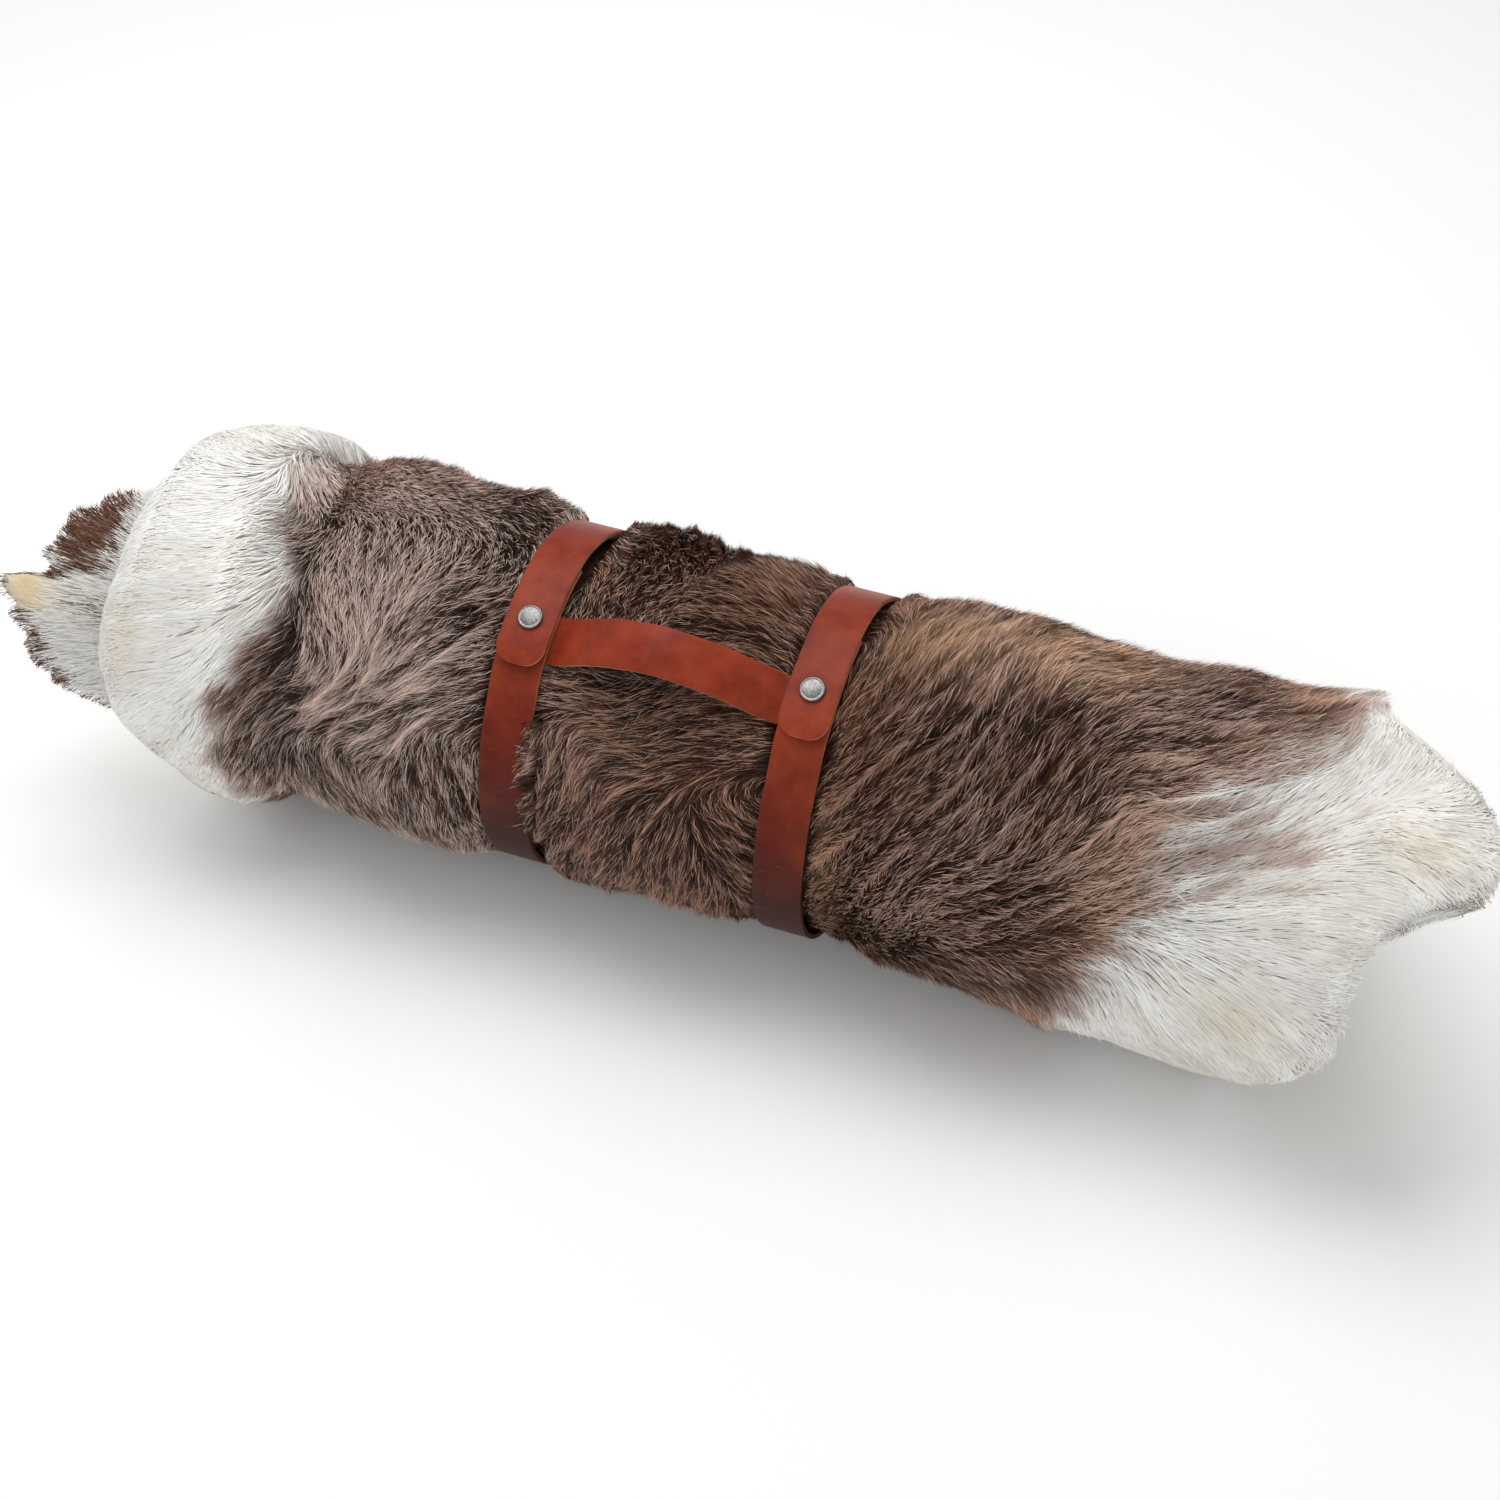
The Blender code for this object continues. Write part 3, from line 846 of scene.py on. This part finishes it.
def white_tones(x, turn, points, locks, rng):
    """White belly hair at root, middle and tip, with cream clouds, grey that strays at random,
    painted shade in the troughs of its locks, and painted shade that dims it towards the right end.
    """
    count = len(x)
    # painted shade: the white is dimmed towards the right end, and greyer in the troughs of its
    # locks
    painted_dimming = 0.20 * smooth(0.20, 0.34, x)
    soft = np.clip(0.72 - painted_dimming + 0.18 * locks + rng.normal(0, 0.14, count), 0, 1)
    pure = blend(TONES["shade"], TONES["white"], soft)
    stain = sum(patch_share(x, turn, row) for row in STAINS)
    stain = np.clip(0.5 * stain + 0.12 * drift(points, 0.05, 43) + 0.05, 0, 0.6)
    pure = blend(pure, TONES["cream"], stain)
    return np.stack([pure * 0.95, pure * 0.99, pure], 1)


def brown_tones(x, turn, points, locks, rng):
    """Brown hair at root, middle and tip: dark shafts, many with pale bands."""
    count = len(x)
    uneven = 0.26 * locks + 0.25 * drift(points, 0.012, 42) + rng.normal(0, 0.42, count)
    base = brown_coat(x, turn, points)
    paleness = base.mean(1)
    shaft = base * ((0.46 + 1.0 * paleness) * np.exp(uneven * (1 - paleness)))[:, None]
    greyer = smooth(-0.06, -0.14, x)
    often = 0.24 + 0.10 * greyer + sum(row[4] * patch_share(x, turn, row) for row in FROST)
    often *= np.exp(0.40 * locks + 0.45 * drift(points, 0.022, 44))
    pale = rng.random(count) < often
    strength = rng.uniform(0.45, 1.0, count) * pale
    silvery = 0.8 * greyer + 0.45 * smooth(0.08, 0.16, x)
    bright = blend(TONES["fawn"], TONES["silver"], silvery)
    bright = base * 0.20 + bright * 1.28
    mid = blend(shaft * 0.9, bright, strength * 0.75)
    tip = blend(shaft * 1.1, bright * 1.15, strength)
    return np.stack([shaft * 0.30, mid, tip], 1)


def hair_colour(x, turn, white_share, locks, rng):
    """Each ribbon's colours, and how far it is a white one."""
    count = len(x)
    points = on_roll(x, turn, ROLL_MEAN)
    streak = read_field(LONG_LOCKS, FIELD_X, x, turn)
    streak = streak + 0.9 * read_field(SHORT_LOCKS, FIELD_X, x, turn)
    streak *= 0.12 + 0.26 * patch_share(x, turn, STREAKY)
    streak += 0.08 * drift(points, 0.006, 41)
    chance = rng.uniform(0.25, 0.75, count)
    white = np.clip(0.5 + (1.5 * white_share - 0.25 + streak - chance) * 1.8, 0, 1)
    white = np.where(white_share < 0.02, 0, np.where(white_share > 0.98, 1, white))
    pure = white_tones(x, turn, points, locks, rng)
    brown = brown_tones(x, turn, points, locks, rng)
    paler = (0.9 * smooth(0, 0.5, white_share))[:, None, None]
    brown = brown * (1 - paler) + TONES["silver"] * 0.8 * paler
    return np.clip(brown + (pure - brown) * white[:, None, None], 0, 1), white


# the hair's surface rounds over the rims: how far in it starts, over what length, how deep
LEFT_ROUND = (0.028, 0.032, 0.016)
RIGHT_ROUND = (0.006, 0.006, 0.002)
EDGE_DROP = 0.020         # and dips under the skin's long edge


def outer_surface(x, turn):
    """The hair's outer surface, curling in at both rims and under the skin's long edge."""
    radius = pressed_radius(x, turn)
    start, run, drop = LEFT_ROUND
    past = np.clip((round_table(FORM_LEFT, turn) + start - x) / run, 0, 1)
    radius = radius - drop * (1 - np.sqrt(1 - past ** 2))
    start, run, drop = RIGHT_ROUND
    past = np.clip((x - round_table(FORM_RIGHT, turn) + start) / run, 0, 1.5)
    radius = radius - drop * past ** 2
    wound = np.mod(EDGE_TURN - turn, 2 * np.pi) / (2 * np.pi)
    return radius - EDGE_DROP * smooth(0.94, 1.0, wound)


def outer_rims(turn):
    """The x of the hair's left and right rims, the right one torn."""
    points = on_roll(turn * 0, turn, ROLL_MEAN)
    torn = 0.004 * drift(points, 0.012, 53) + 0.003 * drift(points, 0.005, 54)
    return round_table(FORM_LEFT, turn), round_table(FORM_RIGHT, turn) + torn


FEWER_BEHIND, FEWER_UNDER = 0.25, 0.35      # shares of the roots left out there
STRAP_COVERS = STRAP_HALF - 0.002      # no hair grows this near a strap's middle


def grow_outer(pitch, rng):
    """Roots a pitch apart on the outer turn, fewer at the back and the underside."""
    x, turn = scatter(cad_low[0], cad_high[0], -np.pi / 3, 5 * np.pi / 3, pitch, rng)
    left, right = skin_rims(turn, np.zeros_like(x))
    under = smooth(math.radians(205), math.radians(225), turn)
    behind = smooth(math.radians(140), math.radians(160), turn)
    keep = rng.random(len(x)) < 1 - FEWER_BEHIND * behind - FEWER_UNDER * under
    keep &= (x > left) & (x < right)
    keep &= from_strap(x) > STRAP_COVERS
    return x[keep], turn[keep]


HAIR_PITCH = 0.00136      # from one ribbon's root to the next
GUARD_SHARE = 0.09        # long straight guard hairs among the brown ones
LOOSE_SHARE = 0.008       # hairs that stand clear of the coat


def outer_coat(rng):
    """The outer turn's ribbons: x of each root, then points, sides, width and colours."""
    x, turn = grow_outer(HAIR_PITCH, rng)
    count = len(x)
    share = whiteness(x, turn, on_roll(x, turn, ROLL_MEAN))
    guard = (rng.random(count) < GUARD_SHARE) & (share < 0.5)
    length = BROWN_LENGTH + (WHITE_LENGTH - BROWN_LENGTH) * smooth(0.3, 1, share)
    length *= rng.uniform(0.75, 1.2, count) * np.where(guard, 1.25, 1)
    lift = rng.uniform(-0.0026, 0.0004, count) * (1 - 0.75 * share)
    lift += guard * rng.uniform(0.0004, 0.0018, count)
    lift += 0.003 * (rng.random(count) < LOOSE_SHARE)
    stray = np.where(guard, 0.26, 0.14 - 0.07 * share)
    points, sides, seen = lay_hair(x, turn, share, length, hair_depth(x), outer_surface,
                                   lie_at, outer_rims, rng, lift, stray)
    share = whiteness(*seen, on_roll(*seen, ROLL_MEAN))
    colour, white = hair_colour(*seen, share, locks_at(*seen, share), rng)
    width = HAIR_WIDE * rng.uniform(0.75, 1.25, count) * (1 + 1.1 * share)
    width *= np.where(guard, 0.75, 1)
    pale = blend(TONES["fawn"], TONES["silver"], smooth(0.1, -0.2, seen[0]))
    pale *= rng.uniform(0.7, 1.1, count)[:, None]
    guard &= white < 0.3
    colour[guard, MID] = pale[guard] * 0.8
    colour[guard, TIP] = pale[guard]
    return x, points, sides, width, colour


TUFTS = 1600
OVER_STRAP = 0.1094       # hair that lies on the strap is this far from the axis


def edge_tufts(rng):
    """Loose tufts between the straps that spill over the left strap's edge, low in front."""
    edge = STRAP_X[0] + STRAP_HALF
    turn = np.radians(rng.uniform(-6, 36, TUFTS))
    spill = 0.0028 + 0.0022 * drift(on_roll(np.zeros(TUFTS), turn, 0.1), 0.012, 71)
    spill *= smooth(math.radians(36), math.radians(20), turn)
    x = edge + rng.uniform(0.001, 0.008, TUFTS)

    def surface(x, turn):
        return np.maximum(outer_surface(x, turn), OVER_STRAP)

    def way(x, turn):
        down = np.radians(-155 + 25 * drift(on_roll(x, turn, ROLL_MEAN), 0.01, 72))
        return np.stack([np.cos(down), np.sin(down)], -1)

    def rims(turn):
        return edge - spill, np.ones(TUFTS)

    brown = np.zeros(TUFTS)
    points, sides, seen = lay_hair(
        x, turn, brown, rng.uniform(0.008, 0.014, TUFTS), np.full(TUFTS, 0.003), surface, way,
        rims, rng, rng.uniform(0, 0.0012, TUFTS), np.full(TUFTS, 0.25))
    colour = hair_colour(*seen, brown, locks_at(*seen, brown), rng)[0]
    return points, sides, HAIR_WIDE * rng.uniform(0.7, 1.2, TUFTS), colour


hair = coat_material("hair", 0.42)


def add_hair(name, points, sides, width, colour):
    ribbons = add_object(name, hair_mesh(name, points, sides, width, colour), hair)
    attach(ribbons, "root")


hair_rng = np.random.default_rng(7)
root_x, *outer_ribbons = outer_coat(hair_rng)
add_hair("coat_tufts", *edge_tufts(hair_rng))
CUTS = (-1, -0.215, -0.06, 0.12, 0.27, 1)      # the coat's lengths, each a mesh of its own
for number in range(1, len(CUTS)):
    chosen = (root_x >= CUTS[number - 1]) & (root_x < CUTS[number])
    add_hair(f"coat_{number}", *(values[chosen] for values in outer_ribbons))

# ------------------------------------------------------- the hair of the inner turns
# The same coat on the inner turns, which shows only at the two open ends and on the flap.
# At the flap's pointed tip the skin is nearly bare, and its edges carry brown hair.
INNER_HAIR = 0.0075       # from the skin out to the hair's surface
INNER_RIBBONS = 60000
HAIRED_LEFT, HAIRED_RIGHT = -0.318, 0.322      # the inner turns need no hair between these
LEFT_RIBBONS = 0.6        # share of them at the left end
FAN_MIDDLE, FAN_SPREAD = 35, 0.6      # the flap's hair points straight out at this turn
# brown marks beside the bare tip: x, turn in degrees, half length, half width
FLAP_MARKS = (-0.402, 31, 0.012, 0.010)


def inner_way(x, turn):
    """Outwards at both ends, and fanning out over the flap."""
    degrees = np.degrees(np.mod(turn + np.pi, 2 * np.pi) - np.pi)
    fan = np.radians(180 + FAN_SPREAD * np.clip(FAN_MIDDLE - degrees, -60, 60))
    way = np.where(x < 0, fan, 0.0)
    return np.stack([np.cos(way), np.sin(way)], -1)


def grow_inner(count, rng):
    """Places near both ends of the inner turns: x, how far wound, layer and the rims there."""
    wound = rng.uniform(1.02, TURNS_WOUND, count)
    turn = EDGE_TURN - wound * 2 * np.pi
    layer = layer_at(wound)
    left, right = skin_rims(turn, layer)
    at_left = rng.random(count) < LEFT_RIBBONS
    depth = rng.random(count)
    x = np.where(at_left, left + depth * (HAIRED_LEFT - left),
                 right - depth * (right - HAIRED_RIGHT))
    return x, turn, layer, left, right


def inner_colour(x, turn, layer, left, rng):
    """White hair, with a brown fan over the flap's top, a brown fringe and brown marks."""
    count = len(x)
    degrees = np.degrees(np.mod(turn + np.pi, 2 * np.pi) - np.pi)
    places = on_roll(x, turn, ROLL_MEAN)
    fray = drift(places, 0.006, 61)
    fan = smooth(40, 50, degrees + 4 * fray) * smooth(-0.388, -0.402, x + 0.004 * fray)
    fringe = smooth(0.014, 0.007, x - left + 0.004 * fray) * (degrees < 44)
    marks = 0.4 * patch_share(x, turn, FLAP_MARKS)
    on_flap = (np.abs(layer - 1) < 0.2) & (degrees > -25) & (degrees < 95)
    dark = on_flap & (np.maximum(np.maximum(fan, 0.85 * fringe), marks) > rng.random(count))
    tone = np.exp(rng.normal(0, 0.3, count))[:, None]
    brown = blend(TONES["dark"], TONES["warm"], rng.uniform(0, 0.9, count)) * tone
    brown = np.stack([brown * 0.6, brown * 0.9, brown * 1.2], 1)
    pure = white_tones(x, turn, places, np.zeros(count), rng)
    return np.clip(np.where(dark[:, None, None], brown, pure), 0, 1)


def inner_coat(rng):
    """The inner turns' ribbons: points, sides, width and colours."""
    x, turn, layer, left, right = grow_inner(INNER_RIBBONS, rng)
    bare = 2.4 * patch_share(x, turn, FLAP_TIP)
    fringe = (x - left < 0.005) & (x < -0.40)
    keep = (rng.random(len(x)) > bare) | fringe
    x, turn, layer, left, right = (values[keep] for values in (x, turn, layer, left, right))
    count = len(x)

    def surface(x, turn):
        points = on_roll(x, turn, ROLL_MEAN)
        return skin_radius(x, turn, layer) + INNER_HAIR + 0.0015 * drift(points, 0.02, 62)

    def rims(turn):
        return left + 0.001, right + 0.010

    length = rng.uniform(0.010, 0.019, count)
    points, sides, seen = lay_hair(
        x, turn, np.ones(count), length, np.full(count, INNER_HAIR), surface, inner_way, rims,
        rng, rng.uniform(-0.003, 0.0005, count), np.full(count, 0.10), 0.0009)
    colour = inner_colour(*seen, layer, left, rng)
    return points, sides, HAIR_WIDE * rng.uniform(0.7, 1.2, count), colour


add_hair("coat_inner", *inner_coat(hair_rng))

# ---------------------------------------------------------------- the leather carrier
# Two cognac straps, cut 30 mm wide from 3 mm vegetable-tanned leather, wrap the roll. Each is
# closed by a round-cornered tab over its other end, and a handle of the same leather is
# caught under both tabs.
LEATHER = 0.003           # how thick it is
STRAP_WIDE = 0.030
TAB_CORNER = 0.011        # radius of a tab's corners
EDGE_WORN = 0.0005        # width of the softened cut edge
SWAY = 0.0008             # it strays this far to either side
HANDLE_DISH = 0.0006      # its edges curl down this far where it stands free
# the strap's path: turn in degrees, falling, and radius of the middle of the leather, from
# the end under the tab, round the front, bottom and back, over the top to the tab's end
STRAP_PATH = (
    (88, 0.1092), (50, 0.1092), (38, 0.1060), (0, 0.1058), (-180, 0.1058), (-225, 0.1060),
    (-258, 0.1118), (-270, 0.1134), (-286, 0.1131), (-296, 0.1134), (-309, 0.1148),
)


def eased(rows, at):
    """Smooth values between rows whose first column rises, with no overshoot."""
    places, values = np.array(rows).T
    slopes = np.diff(values) / np.diff(places)
    lean = np.zeros(len(places))
    both = slopes[:-1] * slopes[1:]
    total = slopes[:-1] + slopes[1:]
    lean[1:-1] = np.where(both > 0, 2 * both / np.where(both > 0, total, 1), 0)
    i = np.clip(np.searchsorted(places, at) - 1, 0, len(slopes) - 1)
    width = places[i + 1] - places[i]
    t = np.clip((at - places[i]) / width, 0, 1)
    rise = t * t * (3 - 2 * t)
    bow = t * (1 - t) ** 2 * lean[i] + t * t * (t - 1) * lean[i + 1]
    return values[i] + (values[i + 1] - values[i]) * rise + width * bow


def leather_group():
    """Grain, mottle and fine scuffs of smooth tanned leather."""
    group = bpy.data.node_groups.new("tanned_leather", "ShaderNodeTree")
    socket = group.interface.new_socket
    socket("Vector", in_out="INPUT", socket_type="NodeSocketVector")
    for name in ("Mottle", "Scuffs", "Relief"):
        socket(name, in_out="OUTPUT", socket_type="NodeSocketFloat")
    node = node_maker(group)
    link = group.links.new
    start = group.nodes.new("NodeGroupInput")
    end = group.nodes.new("NodeGroupOutput")
    mottle = node("TexNoise", Scale=34.0, Detail=5.0, Roughness=0.62)
    grain = node("TexVoronoi", Scale=1500.0)
    pores = node("TexNoise", Scale=2600.0, Detail=2.0)
    stretch = node("Mapping", Scale=(60.0, 420.0, 420.0), Rotation=(0.0, 0.0, 0.5))
    scratch = node("TexNoise", Scale=1.0, Detail=3.0, Roughness=0.7)
    keep = spread(node, 0.64, 0.74, 0.0, 1.0)
    mixed = node("Math", operation="MULTIPLY_ADD")
    mixed.inputs[1].default_value = 0.5
    for texture in (mottle, grain, pores):
        link(start.outputs["Vector"], texture.inputs["Vector"])
    link(start.outputs["Vector"], stretch.inputs["Vector"])
    link(stretch.outputs["Vector"], scratch.inputs["Vector"])
    link(scratch.outputs["Fac"], keep.inputs["Value"])
    link(grain.outputs["Distance"], mixed.inputs[0])
    link(pores.outputs["Fac"], mixed.inputs[2])
    link(mottle.outputs["Fac"], end.inputs["Mottle"])
    link(keep.outputs["Result"], end.inputs["Scuffs"])
    link(mixed.outputs["Value"], end.inputs["Relief"])
    return group


SHADED, LIT = 0.09, 0.20  # heights between which the leather's tone rises out of its painted shade
PAINTED_SHADE_LOW = 0.17          # share of its full tone that the painted shade leaves low down
SCUFF_TONE, SCUFF_SHARE = 1.5, 0.35      # of the light tone, and how strongly it shows


def leather_material(name, group, dark, light, roughness, relief):
    """Dyed leather: its tone wanders, deeper low down by painted shade that lifts with height, paler
    where it is scuffed.
    """
    material, shader, node, link = new_material(name)
    shader.inputs["Specular IOR Level"].default_value = 0.13
    place = node("TexCoord")
    effect = node("Group")
    effect.node_tree = group
    link(place.outputs["Object"], effect.inputs["Vector"])

    tones = two_tones(node, 0.32, dark, 0.70, light)
    # painted shade: the leather's tone is scaled down towards the floor by height
    split = node("SeparateXYZ")
    height = spread(node, SHADED, LIT, PAINTED_SHADE_LOW, 1.0)
    painted_shade = node("VectorMath", operation="SCALE")
    weaker = node("Math", operation="MULTIPLY")
    weaker.inputs[1].default_value = SCUFF_SHARE
    scuffed = node("Mix", data_type="RGBA")
    scuffed.inputs["B"].default_value = (*(light * SCUFF_TONE), 1)
    link(effect.outputs["Mottle"], tones.inputs["Fac"])
    link(place.outputs["Object"], split.inputs["Vector"])
    link(split.outputs["Z"], height.inputs["Value"])
    link(tones.outputs["Color"], painted_shade.inputs[0])
    link(height.outputs["Result"], painted_shade.inputs["Scale"])
    link(effect.outputs["Scuffs"], weaker.inputs[0])
    link(weaker.outputs["Value"], scuffed.inputs["Factor"])
    link(painted_shade.outputs["Vector"], scuffed.inputs["A"])
    link(scuffed.outputs["Result"], shader.inputs["Base Color"])

    gloss = spread(node, 0.0, 1.0, roughness - 0.06, roughness + 0.10)
    bump = node("Bump", Strength=relief, Distance=0.0002)
    link(effect.outputs["Mottle"], gloss.inputs["Value"])
    link(gloss.outputs["Result"], shader.inputs["Roughness"])
    link(effect.outputs["Relief"], bump.inputs["Height"])
    link(bump.outputs["Normal"], shader.inputs["Normal"])
    return material


leather_effect = leather_group()
leather = leather_material("cognac_leather", leather_effect, linear(112, 34, 18),
                           linear(150, 60, 34), 0.38, 0.25)
cut_edge = leather_material("cut_edge", leather_effect, linear(150, 92, 62),
                            linear(196, 140, 104), 0.75, 0.6)


def finish_leather(name, mesh):
    """Gives a strip its thickness, its raw cut edges and its place in the frame."""
    strip = add_object(name + "_leather", mesh, leather, cut_edge)
    body = strip.modifiers.new("thickness", "SOLIDIFY")
    body.thickness = LEATHER
    body.offset = 0
    body.material_offset_rim = 1
    edge = strip.modifiers.new("edge", "BEVEL")
    edge.width = EDGE_WORN
    edge.segments = 2
    edge.limit_method = "ANGLE"
    edge.angle_limit = math.radians(50)
    edge.material = 0
    mesh.shade_smooth()
    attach(strip, "root")
    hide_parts(name)


def make_strap(name, middle):
    """A strip wound along the path, its last stretch drawn in to round corners."""
    columns, run, corner = 6, 150, 10
    mesh = unit_grid(name + "_leather", columns, run + corner)
    u, v = grid_places(mesh)
    rows = tuple((-angle, radius) for angle, radius in STRAP_PATH)
    first, last, tab_radius = rows[0][0], rows[-1][0], rows[-1][1]
    bend = math.degrees(TAB_CORNER / tab_radius)
    step = v * (run + corner)
    rounding = np.clip(step - run, 0, None) / corner * math.pi / 2
    turn = np.where(step <= run, first + (last - bend - first) * step / run,
                    last - bend + bend * np.sin(rounding))
    half = STRAP_WIDE / 2 - TAB_CORNER * (1 - np.cos(rounding))
    sway = SWAY * np.sin(np.radians(turn) * 2 + middle * 40)
    x = middle + half * (2 * u - 1) + sway
    mesh.vertices.foreach_set("co", on_roll(x, np.radians(-turn), eased(rows, turn)).ravel())
    finish_leather(name, mesh)


def make_handle():
    """A strip along its path, both ends flat on the straps under the tabs."""
    mesh = unit_grid("handle_leather", 10, 100)
    u, v = grid_places(mesh)
    first, last = HANDLE_PATH[0][0], HANDLE_PATH[-1][0]
    x = first + (last - first) * v
    radius = eased(HANDLE_PATH, x)
    turn = HANDLE_TURN + STRAP_WIDE * (u - 0.5) / radius
    dished = HANDLE_DISH * (2 * u - 1) ** 2 * smooth(0.11, 0.13, radius)
    mesh.vertices.foreach_set("co", on_roll(x, turn, radius - dished).ravel())
    mesh.flip_normals()
    finish_leather("handle", mesh)


for strap_name, strap_x in zip(("strap_left", "strap_right"), STRAP_X):
    make_strap(strap_name, strap_x)
make_handle()

# ---------------------------------------------------------------- the snaps
# A plain domed cap of antique nickel closes each tab, 15 mm across, with a rolled rim. Its
# socket and stud are hidden between the layers of leather, so only the cap is made.
SNAP_TURN = math.radians(65.5)
SNAP_SEAT = 0.1155        # from the roll's axis to the tab's face
# the cap's outline: distance from its middle, height over the leather
SNAP_PROFILE = (
    (0.0, 0.00185), (0.0020, 0.00182), (0.0040, 0.00168), (0.0056, 0.00142),
    (0.0062, 0.00130), (0.0066, 0.00146), (0.0070, 0.00150), (0.0074, 0.00128),
    (0.0076, 0.00085), (0.0075, 0.00030), (0.0071, 0.0),
)


def nickel_material():
    """Dull nickel with faint wear."""
    material, shader, node, link = new_material("antique_nickel")
    place = node("TexCoord")
    wear = node("TexNoise", Scale=900.0, Detail=4.0, Roughness=0.7)
    tones = two_tones(node, 0.3, linear(84, 82, 80), 0.7, linear(142, 141, 140))
    gloss = spread(node, 0.0, 1.0, 0.21, 0.46)
    bump = node("Bump", Strength=0.15, Distance=0.0001)
    link(place.outputs["Object"], wear.inputs["Vector"])
    link(wear.outputs["Fac"], tones.inputs["Fac"])
    link(tones.outputs["Color"], shader.inputs["Base Color"])
    link(wear.outputs["Fac"], gloss.inputs["Value"])
    link(gloss.outputs["Result"], shader.inputs["Roughness"])
    link(wear.outputs["Fac"], bump.inputs["Height"])
    link(bump.outputs["Normal"], shader.inputs["Normal"])
    shader.inputs["Metallic"].default_value = 1.0
    return material


nickel = nickel_material()


def make_snap(name, middle):
    """The outline spun into a cap, closed below, and set on its tab."""
    bm = bmesh.new()
    ring = [bm.verts.new((distance, 0, height)) for distance, height in SNAP_PROFILE]
    edges = [bm.edges.new(pair) for pair in zip(ring, ring[1:])]
    bmesh.ops.spin(bm, geom=ring + edges, cent=(0, 0, 0), axis=(0, 0, 1),
                   angle=2 * math.pi, steps=48, use_merge=True)
    bmesh.ops.remove_doubles(bm, verts=bm.verts, dist=1e-6)
    rim = [edge for edge in bm.edges if edge.is_boundary]
    bmesh.ops.contextual_create(bm, geom=rim)
    bmesh.ops.recalc_face_normals(bm, faces=bm.faces)
    seat = Matrix.Translation((middle, 0, AXIS_Z)) @ Matrix.Rotation(
        math.pi / 2 - SNAP_TURN, 4, "X") @ Matrix.Translation((0, 0, SNAP_SEAT))
    bmesh.ops.transform(bm, matrix=seat, verts=bm.verts)
    mesh = clean_mesh(name + "_cap", bm)
    mesh.shade_smooth()
    mesh.set_sharp_from_angle(angle=math.radians(50))
    cap = add_object(name + "_cap", mesh, nickel)
    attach(cap, "root")
    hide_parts(name)


for snap_name, strap_x in zip(("snap_left", "snap_right"), STRAP_X):
    make_snap(snap_name, strap_x)

# ---------------------------------------------------------------- the floor
# A plain matt white floor for the picture, which isn't part of the object. It lies a little
# under the hide, so that the two never share a plane.
bpy.ops.mesh.primitive_plane_add(size=14, location=(0, 0, -0.0004))
floor = bpy.context.object
floor.name = "floor"
floor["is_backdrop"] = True
material, shader, node, link = new_material("floor_white")
shader.inputs["Base Color"].default_value = (0.93, 0.93, 0.93, 1)
shader.inputs["Roughness"].default_value = 0.9
floor.data.materials.append(material)

# ---------------------------------------------------------------- the lights and the camera
# One broad softbox above and a little behind, and one large weak one in front, in a white
# room. The camera looks down on the roll from the front, a little to the right.
world = bpy.data.worlds.new("room")
bpy.context.scene.world = world
world.use_nodes = True
world.node_tree.nodes["Background"].inputs["Color"].default_value = (1, 1, 1, 1)
world.node_tree.nodes["Background"].inputs["Strength"].default_value = 0.61


def aim(ob, target):
    ob.rotation_euler = (Vector(target) - ob.location).to_track_quat("-Z", "Y").to_euler()


def softbox(name, place, target, size, power):
    lamp = bpy.data.lights.new(name, "AREA")
    lamp.shape = "RECTANGLE"
    lamp.size, lamp.size_y = size
    lamp.energy = power
    ob = bpy.data.objects.new(name, lamp)
    bpy.context.scene.collection.objects.link(ob)
    ob.location = place
    aim(ob, target)


softbox("overhead", (-0.4, 0.4, 1.8), (0, 0, 0.1), (1.6, 1.2), 22)
softbox("front_fill", (0.9, -2.2, 1.3), (0, 0, 0.1), (1.6, 1.6), 10)

target = Vector((0.010, 0, 0.102))
azimuth, elevation = math.radians(20.5), math.radians(45)
distance = 1.6
seen_width = 0.93         # at the roll
camera = bpy.data.cameras.new("camera")
camera.lens = camera.sensor_width * distance / seen_width
view = bpy.data.objects.new("camera", camera)
bpy.context.scene.collection.objects.link(view)
view.location = target + distance * Vector((
    math.sin(azimuth) * math.cos(elevation),
    -math.cos(azimuth) * math.cos(elevation), math.sin(elevation)))
aim(view, target)
bpy.context.scene.camera = view
bpy.context.scene.view_settings.view_transform = "Standard"
